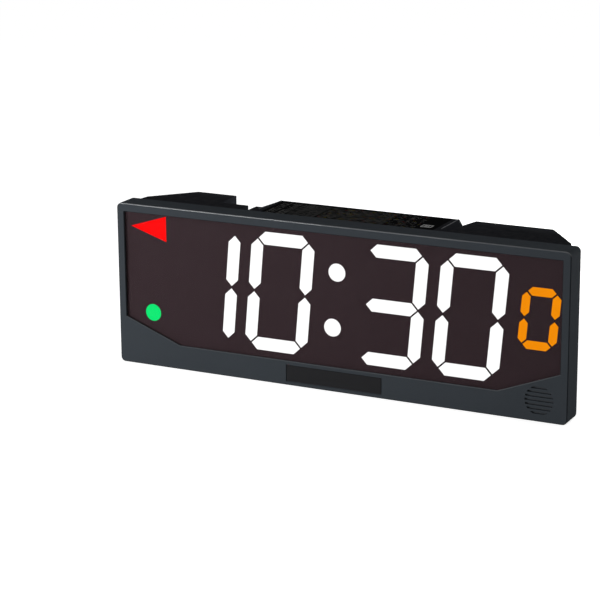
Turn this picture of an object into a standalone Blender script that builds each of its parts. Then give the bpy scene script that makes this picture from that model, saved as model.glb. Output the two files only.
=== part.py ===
"""Large digital timer for sports and training, standing on its lower edge.

Metres, +Z up. The display faces -Y and +X is to the viewer's right. The origin is under
the middle of the timer, on the surface that it stands on. Places on the timer are given as
x, depth behind the front face, and height above the middle of the face.
"""

import math

import bmesh
import bpy
from mathutils import Matrix, Vector

# Face and case
FACE_WIDTH = 0.687
FACE_HEIGHT = 0.237
BEZEL_DEPTH = 0.040
TRAY_DEPTH = 0.035
BOX_DEPTH = 0.048
FACE_CORNER = 0.007
FRONT_EDGE = 0.0012
REAR_EDGE = 0.0036
FRONT_WALL = 0.0025
SIDE_WALL = 0.0028
REAR_WALL = 0.0025
FIT = 0.0003
RUNNING = 0.0004
OVERALL_DEPTH = BEZEL_DEPTH + TRAY_DEPTH + BOX_DEPTH
HALF_WIDTH = FACE_WIDTH / 2
HALF_HEIGHT = FACE_HEIGHT / 2

# Places across the back are counted in steps, which widen with the face
STEPS_ACROSS = 687
STEP = FACE_WIDTH / STEPS_ACROSS

# Window and lens
SIDE_BORDER = 0.0112
TOP_BORDER = 0.0122
LOWER_BAND = 0.0354
CUT_CORNER_RUN = 0.0881
CUT_CORNER_RISE = 0.0338
WINDOW_CHAMFER = 0.0007
LENS_LIP = 0.003
LENS_THICK = 0.002
WINDOW_SIDE = HALF_WIDTH - SIDE_BORDER
WINDOW_TOP = HALF_HEIGHT - TOP_BORDER
WINDOW_FOOT = LOWER_BAND - HALF_HEIGHT
LENS_NEAR = FRONT_WALL + FIT
LENS_FAR = LENS_NEAR + LENS_THICK

# Big digits, in the space between the two side zones of the window
SIDE_ZONE = 0.0822
DIGIT_GAP = 0.0176
COLON_GAP = 0.073
DIGIT_TOP_MARGIN = 0.0077
DIGIT_FOOT_MARGIN = 0.0093
STROKE = 0.0185
SLANT = 0.088
BAR_GAP = 0.0012
BAR_FIT = 0.0002
COLON_RADIUS = 0.0127
COLON_SPREAD = 0.0795
DIGIT_WIDTH = (2 * WINDOW_SIDE - 2 * SIDE_ZONE - 2 * DIGIT_GAP - COLON_GAP) / 4
DIGIT_TOP = WINDOW_TOP - DIGIT_TOP_MARGIN
DIGIT_FOOT = WINDOW_FOOT + DIGIT_FOOT_MARGIN
DIGIT_HEIGHT = DIGIT_TOP - DIGIT_FOOT
DIGIT_MIDDLE = (DIGIT_TOP + DIGIT_FOOT) / 2
INNER_DIGIT = (COLON_GAP + DIGIT_WIDTH) / 2
OUTER_DIGIT = INNER_DIGIT + DIGIT_WIDTH + DIGIT_GAP

# Small digit on the right, arrow and round lamp on the left
SMALL_WIDTH = 0.0548
SMALL_HEIGHT = 0.086
SMALL_STROKE = 0.0119
SMALL_SIDE_MARGIN = 0.0054
SMALL_TOP_MARGIN = 0.0413
SMALL_X = WINDOW_SIDE - SMALL_SIDE_MARGIN - SMALL_WIDTH / 2
SMALL_MIDDLE = WINDOW_TOP - SMALL_TOP_MARGIN - SMALL_HEIGHT / 2
ARROW_LENGTH = 0.057
ARROW_HEIGHT = 0.0367
ARROW_SIDE_MARGIN = 0.0093
ARROW_TOP_MARGIN = 0.0027
ARROW_TIP = ARROW_SIDE_MARGIN - WINDOW_SIDE
ARROW_MIDDLE = WINDOW_TOP - ARROW_TOP_MARGIN - ARROW_HEIGHT / 2
LAMP_RADIUS = 0.0124
LAMP_SIDE = 0.0423
LAMP_RISE = 0.0429

# Mask, diffusers, reflector frame and light boards behind the lens
MASK_THICK = 0.0015
SHEET_THICK = 0.001
SHEET_MARGIN = 0.0015
FRAME_THICK = 0.0015
REFLECTOR_DEPTH = 0.0085
REFLECTOR_WALL = 0.0012
BOARD_THICK = 0.0016
BOARD_SPLIT = 0.002
LED_SIDE = 0.0035
LED_THICK = 0.0018
POST_RADIUS = 0.003
STAKE_RADIUS = 0.0013
STAKE_PROUD = 0.001
IR_X = -0.0075
IR_DROP = 0.067
IR_RADIUS = 0.0026
MASK_NEAR = LENS_FAR + FIT
MASK_FAR = MASK_NEAR + MASK_THICK
SHEET_NEAR = MASK_FAR + FIT
SHEET_FAR = SHEET_NEAR + SHEET_THICK
FRAME_NEAR = SHEET_FAR + FIT
FRAME_FAR = FRAME_NEAR + FRAME_THICK
REFLECTOR_FAR = FRAME_FAR + REFLECTOR_DEPTH
BOARD_NEAR = REFLECTOR_FAR + FIT
BOARD_FAR = BOARD_NEAR + BOARD_THICK
TABS_X = 215 * STEP
TAB_RADIUS = 0.0034
EAR_REACH = 0.0021

# Speaker behind a round slotted grille
SPEAKER_INSET = 0.0401
SPEAKER_RISE = 0.0298
GRILLE_MARGIN = 0.006
SLOT_COUNT = 7
SLOT_OPEN = 0.0028
GRILLE_DEPTH = 0.008
SPEAKER_RIM = 0.0014
SPEAKER_DEPTH = 0.017
MAGNET_RADIUS = 0.011
RIM_LAND = 0.003
RIM_THICK = 0.0018
GASKET_THICK = 0.0015
CONE_EDGE = 0.0006

# Nameplate in the lower band
PLATE_WIDTH = 0.147
PLATE_MARGIN = 0.0054
PLATE_THICK = 0.0008
PLATE_RECESS = 0.0013
PLATE_CORNER = 0.0008

# Rear cover: a flange that closes the bezel and a raised tray
FLANGE_THICK = 0.0025
TRAY_DROP = 0.0032
TRAY_LEFT_INSET = 0.0095
TRAY_RIGHT_INSET = 0.0165
LEFT_SHOULDER_INSET = 0.0125
LEFT_SHOULDER_DEPTH = 0.064
RIGHT_SHOULDER_INSET = 0.0215
RIGHT_SHOULDER_DEPTH = 0.060
LEFT_REAR_CORNER = -278 * STEP
RIGHT_REAR_CORNER = 274 * STEP
LEFT_SLOT_WIDTH = 0.013
LEFT_SLOT_END = -157 * STEP
SLOT_DROP = 0.060
LIP_BLOCK = 0.010
HOOK_WIDTH = 0.018
HOOK_THICK = 0.002
HOOK_RISE = 0.002
HOOKS_X = 200 * STEP
TRAY_FAR = BEZEL_DEPTH + TRAY_DEPTH
TRAY_TOP = HALF_HEIGHT - TRAY_DROP
BOX_NEAR = TRAY_FAR + FIT

# Rear boxes and the middle pod
LEFT_BOX_INNER = -214.5 * STEP
RIGHT_BOX_INNER_NEAR = 149.5 * STEP
RIGHT_BOX_INNER_FAR = 160 * STEP
BOX_WALL = 0.0025
BOX_REAR_WALL = 0.005
POD_LEFT_NEAR = -148.6 * STEP
POD_LEFT_FAR = -142 * STEP
POD_RIGHT = 140.5 * STEP
POD_SIDE_SLOPE = 0.005
POD_SLOPE_DROP = 0.0085
POD_HEIGHT = 0.150
POD_REAR_WALL = 0.0055
POCKET_DEPTH = 0.0035
PANEL_LEFT = -137 * STEP
PANEL_RIGHT = 127 * STEP
PANEL_THICK = 0.001
PANEL_RECESS = 0.0014
PANEL_MARGIN = 0.004
FOOT_RADIUS = 0.008
FOOT_INSET = 0.020
RIBBON_WIDTH = 0.012
RIBBON_THICK = 0.0008
RIBBON_X = 35 * STEP
RIBBON_LOW = -0.010
CASE_EDGE = 0.0009
WIRE_RADIUS = 0.001
SPEAKER_WIRE_RISE = 0.034

# Battery doors and cells
DOOR_HEIGHT = 0.150
DOOR_THICK = 0.0025
HINGE_RADIUS = 0.0022
HINGE_PIN_RADIUS = 0.0011
HINGE_PIN_LENGTH = 0.003
DOOR_SIDE_MARGIN = 0.0065
FINGER_RADIUS = 0.008
FINGER_DEPTH = 0.0018
CELL_RADIUS = 0.0169
CELL_LENGTH = 0.0612
CELL_NUB_RADIUS = 0.0047
CELL_NUB = 0.0015
CRADLE_WALL = 0.002
CRADLE_REACH = 0.022

# Keys, switch, knob and power inlet on the back of the pod
KEY_COUNT = 6
KEY_WIDTH = 0.015
KEY_HEIGHT = 0.010
KEY_PITCH = 21 * STEP
KEY_TRAVEL = 0.0015
KEY_PROUD = 0.0024
KEY_FLANGE = 0.0012
KEY_FLANGE_WIDTH = 0.0015
KEY_ROW_HEIGHT = 0.075
KEYS_LEFT = -112 * STEP
POCKET_LEFT = -126 * STEP
POCKET_RIGHT = 121 * STEP
POCKET_HEIGHT = 0.031
KEY_CORNER = 0.002
KEY_EDGE = 0.0006
TACT_THICK = 0.0043
CHIP_SIDE = 0.012
CHIP_THICK = 0.0016
ROCKER_X = 32 * STEP
ROCKER_WIDTH = 0.0125
ROCKER_HEIGHT = 0.0184
ROCKER_TILT = 10.0
ROCKER_BORDER = 0.0022
ROCKER_FLANGE = 0.0012
ROCKER_BODY_DEPTH = 0.013
ROCKER_BODY_WALL = 0.001
ROCKER_RISE = 0.0024
ROCKER_DEEP = 0.005
ROCKER_PIVOT = 0.0011
KNOB_X = 68 * STEP
KNOB_RADIUS = 0.0085
KNOB_THICK = 0.0022
POT_SHAFT_RADIUS = 0.003
POT_BODY = 0.011
POT_FLOOR = 0.001
KNOB_FLUTE = 0.0005
INLET_X = 105 * STEP
INLET_RADIUS = 0.0052
INLET_RIM = 0.0013
INLET_RIM_THICK = 0.0018
INLET_BORE = 0.0033
INLET_BORE_DEPTH = 0.009
INLET_PIN = 0.001
INLET_PIN_LENGTH = 0.0045
INLET_BODY_DEPTH = 0.0115
CONTROL_BOARD_SIDE = 0.006
CONTROL_BOARD_HEIGHT = 0.046

# Fasteners
SCREW_SHANK = 0.0015
SCREW_HEAD = 0.0027
SCREW_HEAD_THICK = 0.0013
SCREW_HOLE = 0.0019
SCREW_LENGTH = 0.009

PARTS = "digital_timer"
CUTTERS = "cutters"
FACING = (math.pi / 2, 0.0, 0.0)
SIDEWAYS = (math.pi / 2, 0.0, math.pi / 2)


def start():
    """Empty the file and make the two collections."""
    for old in list(bpy.data.objects):
        bpy.data.objects.remove(old, do_unlink=True)
    for name in (PARTS, CUTTERS):
        group = bpy.data.collections.get(name) or bpy.data.collections.new(name)
        if group.name not in bpy.context.scene.collection.children:
            bpy.context.scene.collection.children.link(group)


def at(x, depth, height):
    """World place of a point of the timer."""
    return Vector((x, depth - OVERALL_DEPTH / 2, height + HALF_HEIGHT))


def link(name, mesh, group=CUTTERS):
    """A new object of a mesh; it is a cutter until it is finished as a part."""
    made = bpy.data.objects.new(name, mesh)
    bpy.data.collections[group].objects.link(made)
    if group == CUTTERS:
        made.hide_render = True
        made.display_type = "WIRE"
    return made


def finish(part, name, colour, roughness, metallic=0.0, smooth=False):
    """Turn a working solid into a named part with a material of its own."""
    part.name = name
    part.data.name = name
    bpy.data.collections[CUTTERS].objects.unlink(part)
    bpy.data.collections[PARTS].objects.link(part)
    part.hide_render = False
    part.display_type = "TEXTURED"
    material = bpy.data.materials.new(name)
    material.use_nodes = True
    shader = material.node_tree.nodes["Principled BSDF"]
    shader.inputs["Base Color"].default_value = (*colour, 1.0)
    shader.inputs["Roughness"].default_value = roughness
    shader.inputs["Metallic"].default_value = metallic
    part.data.materials.clear()
    part.data.materials.append(material)
    if smooth:
        part.data.shade_smooth()
        part.data.set_sharp_from_angle(angle=math.radians(35))
    return part


def evaluated(part):
    """The mesh of an object with its modifiers, in world space."""
    bpy.context.view_layer.update()
    ready = part.evaluated_get(bpy.context.evaluated_depsgraph_get())
    mesh = bpy.data.meshes.new_from_object(ready)
    mesh.transform(part.matrix_world)
    return mesh


def joined(name, solids):
    """Several solids as one object, for the next cut or union."""
    shape = bmesh.new()
    for solid in solids:
        mesh = evaluated(solid)
        shape.from_mesh(mesh)
        bpy.data.meshes.remove(mesh)
        bpy.data.objects.remove(solid, do_unlink=True)
    mesh = bpy.data.meshes.new(name)
    shape.to_mesh(mesh)
    shape.free()
    return link(name, mesh)


def boolean(part, other, operation):
    """One exact Boolean of a part with a cutter."""
    change = part.modifiers.new(operation.title(), "BOOLEAN")
    change.operation = operation
    change.solver = "EXACT"
    change.object = other
    return part


def cut(part, *tools):
    """Take cutters away from a part."""
    for tool in tools:
        boolean(part, tool, "DIFFERENCE")
    return part


def add(part, *pieces):
    """Fuse pieces to a part."""
    for piece in pieces:
        boolean(part, piece, "UNION")
    return part


def extruded(name, outlines, thick, turn, place):
    """Flat outlines with a thickness, from a filled 2D curve; an outline in another is a hole."""
    curve = bpy.data.curves.new(name, "CURVE")
    curve.dimensions = "2D"
    curve.fill_mode = "BOTH"
    curve.extrude = thick / 2
    for outline in outlines:
        spline = curve.splines.new("POLY")
        spline.points.add(len(outline) - 1)
        for point, (u, v) in zip(spline.points, outline):
            point.co = (u, v, 0.0, 1.0)
        spline.use_cyclic_u = True
    flat = bpy.data.objects.new(name, curve)
    bpy.data.collections[CUTTERS].objects.link(flat)
    flat.rotation_euler = turn
    flat.location = place
    bpy.context.view_layer.update()
    mesh = bpy.data.meshes.new_from_object(flat.evaluated_get(bpy.context.evaluated_depsgraph_get()))
    shape = bmesh.new()
    shape.from_mesh(mesh)
    bmesh.ops.remove_doubles(shape, verts=shape.verts, dist=1e-6)
    bmesh.ops.dissolve_limit(shape, angle_limit=math.radians(0.5), verts=shape.verts, edges=shape.edges)
    bmesh.ops.recalc_face_normals(shape, faces=shape.faces)
    shape.to_mesh(mesh)
    shape.free()
    solid = link(name, mesh)
    solid.matrix_world = flat.matrix_world
    bpy.data.objects.remove(flat, do_unlink=True)
    bpy.data.curves.remove(curve)
    return solid


def panel(name, outlines, near, far):
    """Outlines in x and height, reaching from one depth to another."""
    place = at(0.0, (near + far) / 2, 0.0)
    return extruded(name, outlines, far - near, FACING, place)


def slab(name, outlines, low, high):
    """Outlines in x and depth, reaching from one height to another."""
    place = at(0.0, 0.0, (low + high) / 2)
    return extruded(name, outlines, high - low, (0.0, 0.0, 0.0), place)


def block(name, x, depth, height):
    """A box between two values each of x, depth and height."""
    spans = (x, depth, height)
    shape = bmesh.new()
    bmesh.ops.create_cube(shape, size=1.0)
    bmesh.ops.scale(shape, vec=[b - a for a, b in spans], verts=shape.verts)
    mesh = bpy.data.meshes.new(name)
    shape.to_mesh(mesh)
    shape.free()
    solid = link(name, mesh)
    solid.location = at(*[(a + b) / 2 for a, b in spans])
    return solid


def rod(name, start_at, end_at, radius, sides=16):
    """A round bar from one point to another."""
    span = end_at - start_at
    shape = bmesh.new()
    bmesh.ops.create_cone(
        shape, cap_ends=True, segments=sides, radius1=radius, radius2=radius, depth=span.length,
    )
    mesh = bpy.data.meshes.new(name)
    shape.to_mesh(mesh)
    shape.free()
    solid = link(name, mesh)
    solid.rotation_mode = "QUATERNION"
    solid.rotation_quaternion = Vector((0, 0, 1)).rotation_difference(span.normalized())
    solid.location = (start_at + end_at) / 2
    return solid


def turned(name, profile, place, axis, steps=16):
    """A turned solid: radius and distance along its axis, from the top centre down the outside."""
    mesh = bpy.data.meshes.new(name)
    points = [(radius, 0.0, along) for radius, along in profile]
    mesh.from_pydata(points, [(i, i + 1) for i in range(len(points) - 1)], [])
    solid = link(name, mesh)
    screw = solid.modifiers.new("Turn", "SCREW")
    screw.steps = steps
    screw.render_steps = steps
    screw.use_merge_vertices = True
    screw.merge_threshold = 1e-6
    solid.rotation_mode = "QUATERNION"
    solid.rotation_quaternion = Vector((0, 0, 1)).rotation_difference(Vector(axis).normalized())
    solid.location = place
    return solid


def screw_at(place, axis, length):
    """A pan-head screw: the underside of its head is at the place and its shank runs back."""
    profile = [
        (0.0, SCREW_HEAD_THICK),
        (SCREW_HEAD * 0.8, SCREW_HEAD_THICK),
        (SCREW_HEAD, SCREW_HEAD_THICK * 0.5),
        (SCREW_HEAD, 0.0),
        (SCREW_SHANK, 0.0),
        (SCREW_SHANK, -length),
        (0.0, -length),
    ]
    return turned("screw", profile, place, axis, steps=10)


def bevel(part, width, segments=2, angle=50.0):
    """Round the sharp edges of a part."""
    change = part.modifiers.new("Bevel", "BEVEL")
    change.width = width
    change.segments = segments
    change.limit_method = "ANGLE"
    change.angle_limit = math.radians(angle)
    return part


def circle(x, y, radius, sides=28):
    """Points of a circle."""
    turns = [2 * math.pi * i / sides for i in range(sides)]
    return [(x + radius * math.cos(t), y + radius * math.sin(t)) for t in turns]


def rectangle(x0, x1, y0, y1):
    """Corners of a rectangle, anticlockwise."""
    return [(x0, y0), (x1, y0), (x1, y1), (x0, y1)]


def rounded(x0, x1, y0, y1, radius, steps=5):
    """A rectangle with quarter arcs at its corners."""
    points = []
    corners = ((x1, y1, 0), (x0, y1, 1), (x0, y0, 2), (x1, y0, 3))
    for x, y, quarter in corners:
        cx = x - math.copysign(radius, x - (x0 + x1) / 2)
        cy = y - math.copysign(radius, y - (y0 + y1) / 2)
        for i in range(steps + 1):
            t = math.pi / 2 * (quarter + i / steps)
            points.append((cx + radius * math.cos(t), cy + radius * math.sin(t)))
    return points


def grown(outline, by):
    """A convex anticlockwise outline with every side moved out by a distance."""
    points = []
    count = len(outline)
    for i in range(count):
        a, b, c = (Vector(outline[(i + k) % count]) for k in (-1, 0, 1))
        u, v = (b - a).normalized(), (c - b).normalized()
        n1, n2 = Vector((u.y, -u.x)), Vector((v.y, -v.x))
        points.append(tuple(b + (n1 + n2) * (by / (1 + n1.dot(n2)))))
    return points


def window_outline(grow=0.0):
    """The six-sided window, anticlockwise, with its two cut lower corners."""
    foot_x = WINDOW_SIDE - CUT_CORNER_RUN
    side_y = WINDOW_FOOT + CUT_CORNER_RISE
    points = [
        (-foot_x, WINDOW_FOOT), (foot_x, WINDOW_FOOT), (WINDOW_SIDE, side_y),
        (WINDOW_SIDE, WINDOW_TOP), (-WINDOW_SIDE, WINDOW_TOP), (-WINDOW_SIDE, side_y),
    ]
    return grown(points, grow)


def speaker_centre():
    """The speaker's place, from the right and lower edges of the face."""
    return Vector((HALF_WIDTH - SPEAKER_INSET, SPEAKER_RISE - HALF_HEIGHT))


def grille_radius():
    """The grille fills the corner up to a margin from the cut corner of the window."""
    a, b = Vector(window_outline()[1]), Vector(window_outline()[2])
    along = (b - a).normalized()
    away = speaker_centre() - a
    return abs(along.x * away.y - along.y * away.x) - GRILLE_MARGIN


def bar(centre_x, centre_y, length, stroke, upright, slant, middle, grow=0.0):
    """One six-sided bar of a digit, leaning with the digit."""
    tip = length / 2 - BAR_GAP / math.sqrt(2)
    half = stroke / 2
    flat = tip - half
    points = grown([(-tip, 0), (-flat, -half), (flat, -half), (tip, 0), (flat, half), (-flat, half)], grow)
    if upright:
        points = [(-y, x) for x, y in points]
    leaned = []
    for x, y in points:
        height = centre_y + y
        leaned.append((centre_x + x + slant * (height - middle), height))
    return leaned


def digit_bars(centre_x, middle, width, height, stroke, grow=0.0):
    """The seven bars of a digit by letter: a on top, then clockwise, g across the middle."""
    a = (width - stroke) / 2
    b = (height - stroke) / 2
    places = {
        "a": (0, b, False), "b": (a, b / 2, True), "c": (a, -b / 2, True), "d": (0, -b, False),
        "e": (-a, -b / 2, True), "f": (-a, b / 2, True), "g": (0, 0, False),
    }
    made = {}
    for letter, (x, y, upright) in places.items():
        length = b if upright else 2 * a
        made[letter] = bar(centre_x + x, middle + y, length, stroke, upright, SLANT, middle, grow)
    return made


def reflector_outlines(centre_x, middle, width, height, stroke):
    """The walls round a digit's bars: a slanted plate with cut corners and two holes."""
    a = (width - stroke) / 2
    b = (height - stroke) / 2
    wall = BAR_FIT + REFLECTOR_WALL
    side = a + stroke / 2 + wall
    top = b + stroke / 2 + wall
    chamfer = a + b + math.sqrt(2) * wall
    outer = [
        (-(chamfer - top), -top), (chamfer - top, -top), (side, side - chamfer), (side, chamfer - side),
        (chamfer - top, top), (-(chamfer - top), top), (-side, chamfer - side), (-side, side - chamfer),
    ]
    hole_x = a - stroke / 2 - wall
    low, high = stroke / 2 + wall, b - stroke / 2 - wall
    holes = [rectangle(-hole_x, hole_x, low, high), rectangle(-hole_x, hole_x, -high, -low)]
    return [[(centre_x + x + SLANT * y, middle + y) for x, y in outline] for outline in (outer, *holes)]


def colon_places():
    """Centres of the two colon lamps, leaning with the digits."""
    return [(SLANT * rise, DIGIT_MIDDLE + rise) for rise in (COLON_SPREAD / 2, -COLON_SPREAD / 2)]


def lamp_place():
    """Centre of the round lamp at the lower left."""
    return LAMP_SIDE - WINDOW_SIDE, WINDOW_FOOT + LAMP_RISE


def arrow_outline(grow=0.0):
    """The arrow at the upper left, pointing left."""
    back = ARROW_TIP + ARROW_LENGTH
    half = ARROW_HEIGHT / 2
    points = [(ARROW_TIP, ARROW_MIDDLE), (back, ARROW_MIDDLE - half), (back, ARROW_MIDDLE + half)]
    return grown(points, grow)


def big_digits():
    """Centres of the four big digits, left to right."""
    return (-OUTER_DIGIT, -INNER_DIGIT, INNER_DIGIT, OUTER_DIGIT)


def all_digits(grow=0.0):
    """The bars of the five digits, left to right."""
    made = [digit_bars(x, DIGIT_MIDDLE, DIGIT_WIDTH, DIGIT_HEIGHT, STROKE, grow) for x in big_digits()]
    made.append(digit_bars(SMALL_X, SMALL_MIDDLE, SMALL_WIDTH, SMALL_HEIGHT, SMALL_STROKE, grow))
    return made


def post_places():
    """Where the light boards are staked to the reflector frame: x and height, right half first."""
    gap_x = (INNER_DIGIT + OUTER_DIGIT) / 2
    rise = DIGIT_HEIGHT / 4
    right = [
        (gap_x + SLANT * rise, DIGIT_MIDDLE + rise), (gap_x - SLANT * rise, DIGIT_MIDDLE - rise),
        (COLON_GAP / 6, DIGIT_MIDDLE),
    ]
    left = [
        (-gap_x + SLANT * rise, DIGIT_MIDDLE + rise), (-gap_x - SLANT * rise, DIGIT_MIDDLE - rise),
        (-COLON_GAP / 6, DIGIT_MIDDLE),
    ]
    side = WINDOW_SIDE - 2 * POST_RADIUS
    low = WINDOW_FOOT + CUT_CORNER_RISE + 4 * POST_RADIUS
    return right + [(side, low)] + left + [(-side, low)]


def tab_places():
    """Where the reflector frame is staked to the bezel: above and below the window."""
    top = WINDOW_TOP + LENS_LIP + FIT + TAB_RADIUS
    foot = WINDOW_FOOT - LENS_LIP - FIT - TAB_RADIUS
    return [(x, y) for y in (top, foot) for x in (-TABS_X, TABS_X)]


def hook_places():
    """Where the rear cover hooks behind ribs on the bezel's upper wall."""
    return (-HOOKS_X, 0.0, HOOKS_X)


def hook_spans():
    """Depth of the rib's front, and heights of the rib's lower edge and the wall's inside."""
    inside = HALF_HEIGHT - SIDE_WALL
    return BEZEL_DEPTH - FLANGE_THICK - 2 * HOOK_THICK, inside - HOOK_RISE, inside


def hook_rib(x):
    """A rib under the bezel's upper wall that a hook of the rear cover catches."""
    near, low, inside = hook_spans()
    half = HOOK_WIDTH / 2
    return block("hook_rib", (x - half, x + half), (near, near + HOOK_THICK), (low, inside + SIDE_WALL / 2))


def hook_solid(x):
    """An arm of the rear cover that passes under the rib and turns up in front of it."""
    near, low, inside = hook_spans()
    half = HOOK_WIDTH / 2
    top, foot = low - FIT, low - FIT - HOOK_THICK
    near, far = near - FIT, BEZEL_DEPTH - FLANGE_THICK / 2
    outline = [
        (near - HOOK_THICK, foot), (far, foot), (far, top), (near, top), (near, inside - FIT),
        (near - HOOK_THICK, inside - FIT),
    ]
    return side_profile("hook", [outline], x - half, x + half)


def case_screw_places():
    """Where the bezel's lower wall is screwed to the rear cover."""
    reach = HALF_WIDTH - SIDE_WALL - 2 * LIP_BLOCK
    return [-reach, -reach / 3, reach / 3, reach]


def lip_depth():
    """Depth of the screws in the lower wall, through the rear cover's lip blocks."""
    return BEZEL_DEPTH - FLANGE_THICK - LIP_BLOCK / 2


def left_side(depth):
    """x of the left chamfer of the back at a depth past its shoulder."""
    x0 = LEFT_SHOULDER_INSET - HALF_WIDTH
    share = (depth - LEFT_SHOULDER_DEPTH) / (OVERALL_DEPTH - LEFT_SHOULDER_DEPTH)
    return x0 + (LEFT_REAR_CORNER - x0) * share


def right_side(depth):
    """x of the right chamfer of the back at a depth past its shoulder."""
    x0 = HALF_WIDTH - RIGHT_SHOULDER_INSET
    share = (depth - RIGHT_SHOULDER_DEPTH) / (OVERALL_DEPTH - RIGHT_SHOULDER_DEPTH)
    return x0 + (RIGHT_REAR_CORNER - x0) * share


def weigh_outlines(part, front, rear):
    """Bevel weights for the outlines of a panel's front and rear faces."""
    mesh = part.data
    weights = mesh.attributes.new("bevel_weight_edge", "FLOAT", "EDGE")
    reach = max(vertex.co.z for vertex in mesh.vertices) * 0.99
    for edge in mesh.edges:
        heights = [mesh.vertices[i].co.z for i in edge.vertices]
        if min(heights) > reach:
            weights.data[edge.index].value = front
        elif max(heights) < -reach:
            weights.data[edge.index].value = rear


def weighted_bevel(part, front, rear, segments):
    """Round the front and rear outlines of a panel by their own radii."""
    widest = max(front, rear)
    weigh_outlines(part, front / widest, rear / widest)
    change = part.modifiers.new("Bevel", "BEVEL")
    change.width = widest
    change.segments = segments
    change.limit_method = "WEIGHT"
    return part


def grille_slots():
    """The slots of the speaker grille, cut to a circle."""
    centre = speaker_centre()
    radius = grille_radius()
    pitch = 2 * radius / SLOT_COUNT
    half = SLOT_OPEN / 2
    outlines = []
    for i in range(SLOT_COUNT):
        y = (i - (SLOT_COUNT - 1) / 2) * pitch
        levels = (y - half, y, y + half)
        ends = [math.sqrt(max(radius ** 2 - level ** 2, half ** 2)) for level in levels]
        right = [(centre.x + x, centre.y + level) for x, level in zip(ends, levels)]
        left = [(centre.x - x, centre.y + level) for x, level in zip(ends, levels)]
        outlines.append(right + left[::-1])
    return outlines


def speaker_rim_radius():
    """Outer radius of the speaker, a little over the grille's."""
    return grille_radius() + SPEAKER_RIM


def make_bezel():
    """Front frame: outer shell, window opening, nameplate recess, grille and screw pads."""
    outline = rounded(-HALF_WIDTH, HALF_WIDTH, -HALF_HEIGHT, HALF_HEIGHT, FACE_CORNER)
    body = weighted_bevel(panel("bezel", [outline], 0.0, BEZEL_DEPTH), FRONT_EDGE, REAR_EDGE, 3)
    x, y = HALF_WIDTH - SIDE_WALL, HALF_HEIGHT - SIDE_WALL
    inside = rounded(-x, x, -y, y, max(FACE_CORNER - SIDE_WALL, FIT))
    cut(body, panel("bezel_inside", [inside], FRONT_WALL, BEZEL_DEPTH + SIDE_WALL))
    centre = speaker_centre()
    grille = rod("grille_boss", at(centre.x, FRONT_WALL / 2, centre.y), at(centre.x, GRILLE_DEPTH, centre.y),
                 grille_radius() + SPEAKER_RIM, 28)
    ends = FRONT_WALL / 2, FRAME_NEAR - FIT, FRAME_FAR
    pads = [stake(tx, ty, *ends, TAB_RADIUS) for tx, ty in tab_places()]
    add(body, grille, joined("tab_pads", pads), joined("hook_ribs", [hook_rib(hx) for hx in hook_places()]))
    cut(body, panel("window", [window_outline()], -FRONT_WALL, 2 * FRONT_WALL))
    flare_far = WINDOW_CHAMFER * 1.2
    flare = panel("window_flare", [window_outline(WINDOW_CHAMFER)], -2 * WINDOW_CHAMFER, flare_far)
    weigh_outlines(flare, 0.0, 1.0)
    edge = flare.modifiers.new("Bevel", "BEVEL")
    edge.width = flare_far
    edge.segments = 1
    edge.limit_method = "WEIGHT"
    cut(body, flare)
    plate_x = PLATE_WIDTH / 2 + FIT
    low, high = nameplate_span(FIT)
    recess = rounded(-plate_x, plate_x, low, high, PLATE_CORNER + FIT, 3)
    cut(body, panel("plate_recess", [recess], -PLATE_RECESS, PLATE_RECESS))
    cut(body, panel("slots", grille_slots(), -GRILLE_DEPTH, 2 * GRILLE_DEPTH))
    cut(body, joined("lower_wall_holes", [lower_wall_hole(x) for x in case_screw_places()]))
    return finish(body, "front_bezel", (0.055, 0.061, 0.068), 0.45)


def nameplate_span(grow=0.0):
    """Lowest and highest edge of the nameplate in the middle of the lower band."""
    low = PLATE_MARGIN - HALF_HEIGHT
    high = WINDOW_FOOT - PLATE_MARGIN
    return low - grow, high + grow


def lower_wall_hole(x):
    """A countersunk hole in the lower wall for a case screw."""
    depth = lip_depth()
    low = -HALF_HEIGHT
    profile = [
        (0.0, 2 * SIDE_WALL), (SCREW_HOLE, 2 * SIDE_WALL), (SCREW_HOLE, SCREW_HEAD_THICK + 2 * FIT),
        (SCREW_HEAD + FIT, SCREW_HEAD_THICK + 2 * FIT), (SCREW_HEAD + FIT, -SIDE_WALL), (0.0, -SIDE_WALL),
    ]
    return turned("wall_hole", profile, at(x, depth, low), (0, 0, 1), steps=10)


def make_nameplate():
    """A bare plate seated in its recess."""
    low, high = nameplate_span()
    outline = rounded(-PLATE_WIDTH / 2, PLATE_WIDTH / 2, low, high, PLATE_CORNER, 3)
    far = PLATE_RECESS - FIT
    plate = panel("nameplate", [outline], far - PLATE_THICK, far)
    return finish(plate, "nameplate", (0.018, 0.018, 0.019), 0.35)


def make_lens():
    """The smoked window, held behind the bezel's edge."""
    lens = panel("lens", [window_outline(LENS_LIP)], LENS_NEAR, LENS_FAR)
    return finish(lens, "display_window", (0.045, 0.028, 0.03), 0.12)


def stake(x, y, near, shoulder, far, radius):
    """A round pillar with a thinner pin on its end, which the next piece is staked to."""
    profile = [
        (0.0, far + STAKE_PROUD), (STAKE_RADIUS, far + STAKE_PROUD), (STAKE_RADIUS, shoulder),
        (radius, shoulder), (radius, near), (0.0, near),
    ]
    return turned("stake", profile, at(x, 0.0, y), (0, 1, 0), steps=12)


def ir_place():
    """Centre of the remote receiver, under the colon."""
    return IR_X, DIGIT_MIDDLE - IR_DROP


def wells(grow=BAR_FIT):
    """Outlines of every bar and lamp, grown by their clearance."""
    made = [outline for digit in all_digits(grow) for outline in digit.values()]
    made += [circle(x, y, COLON_RADIUS + grow) for x, y in colon_places()]
    made += [circle(*lamp_place(), LAMP_RADIUS + grow), arrow_outline(grow)]
    return made


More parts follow.
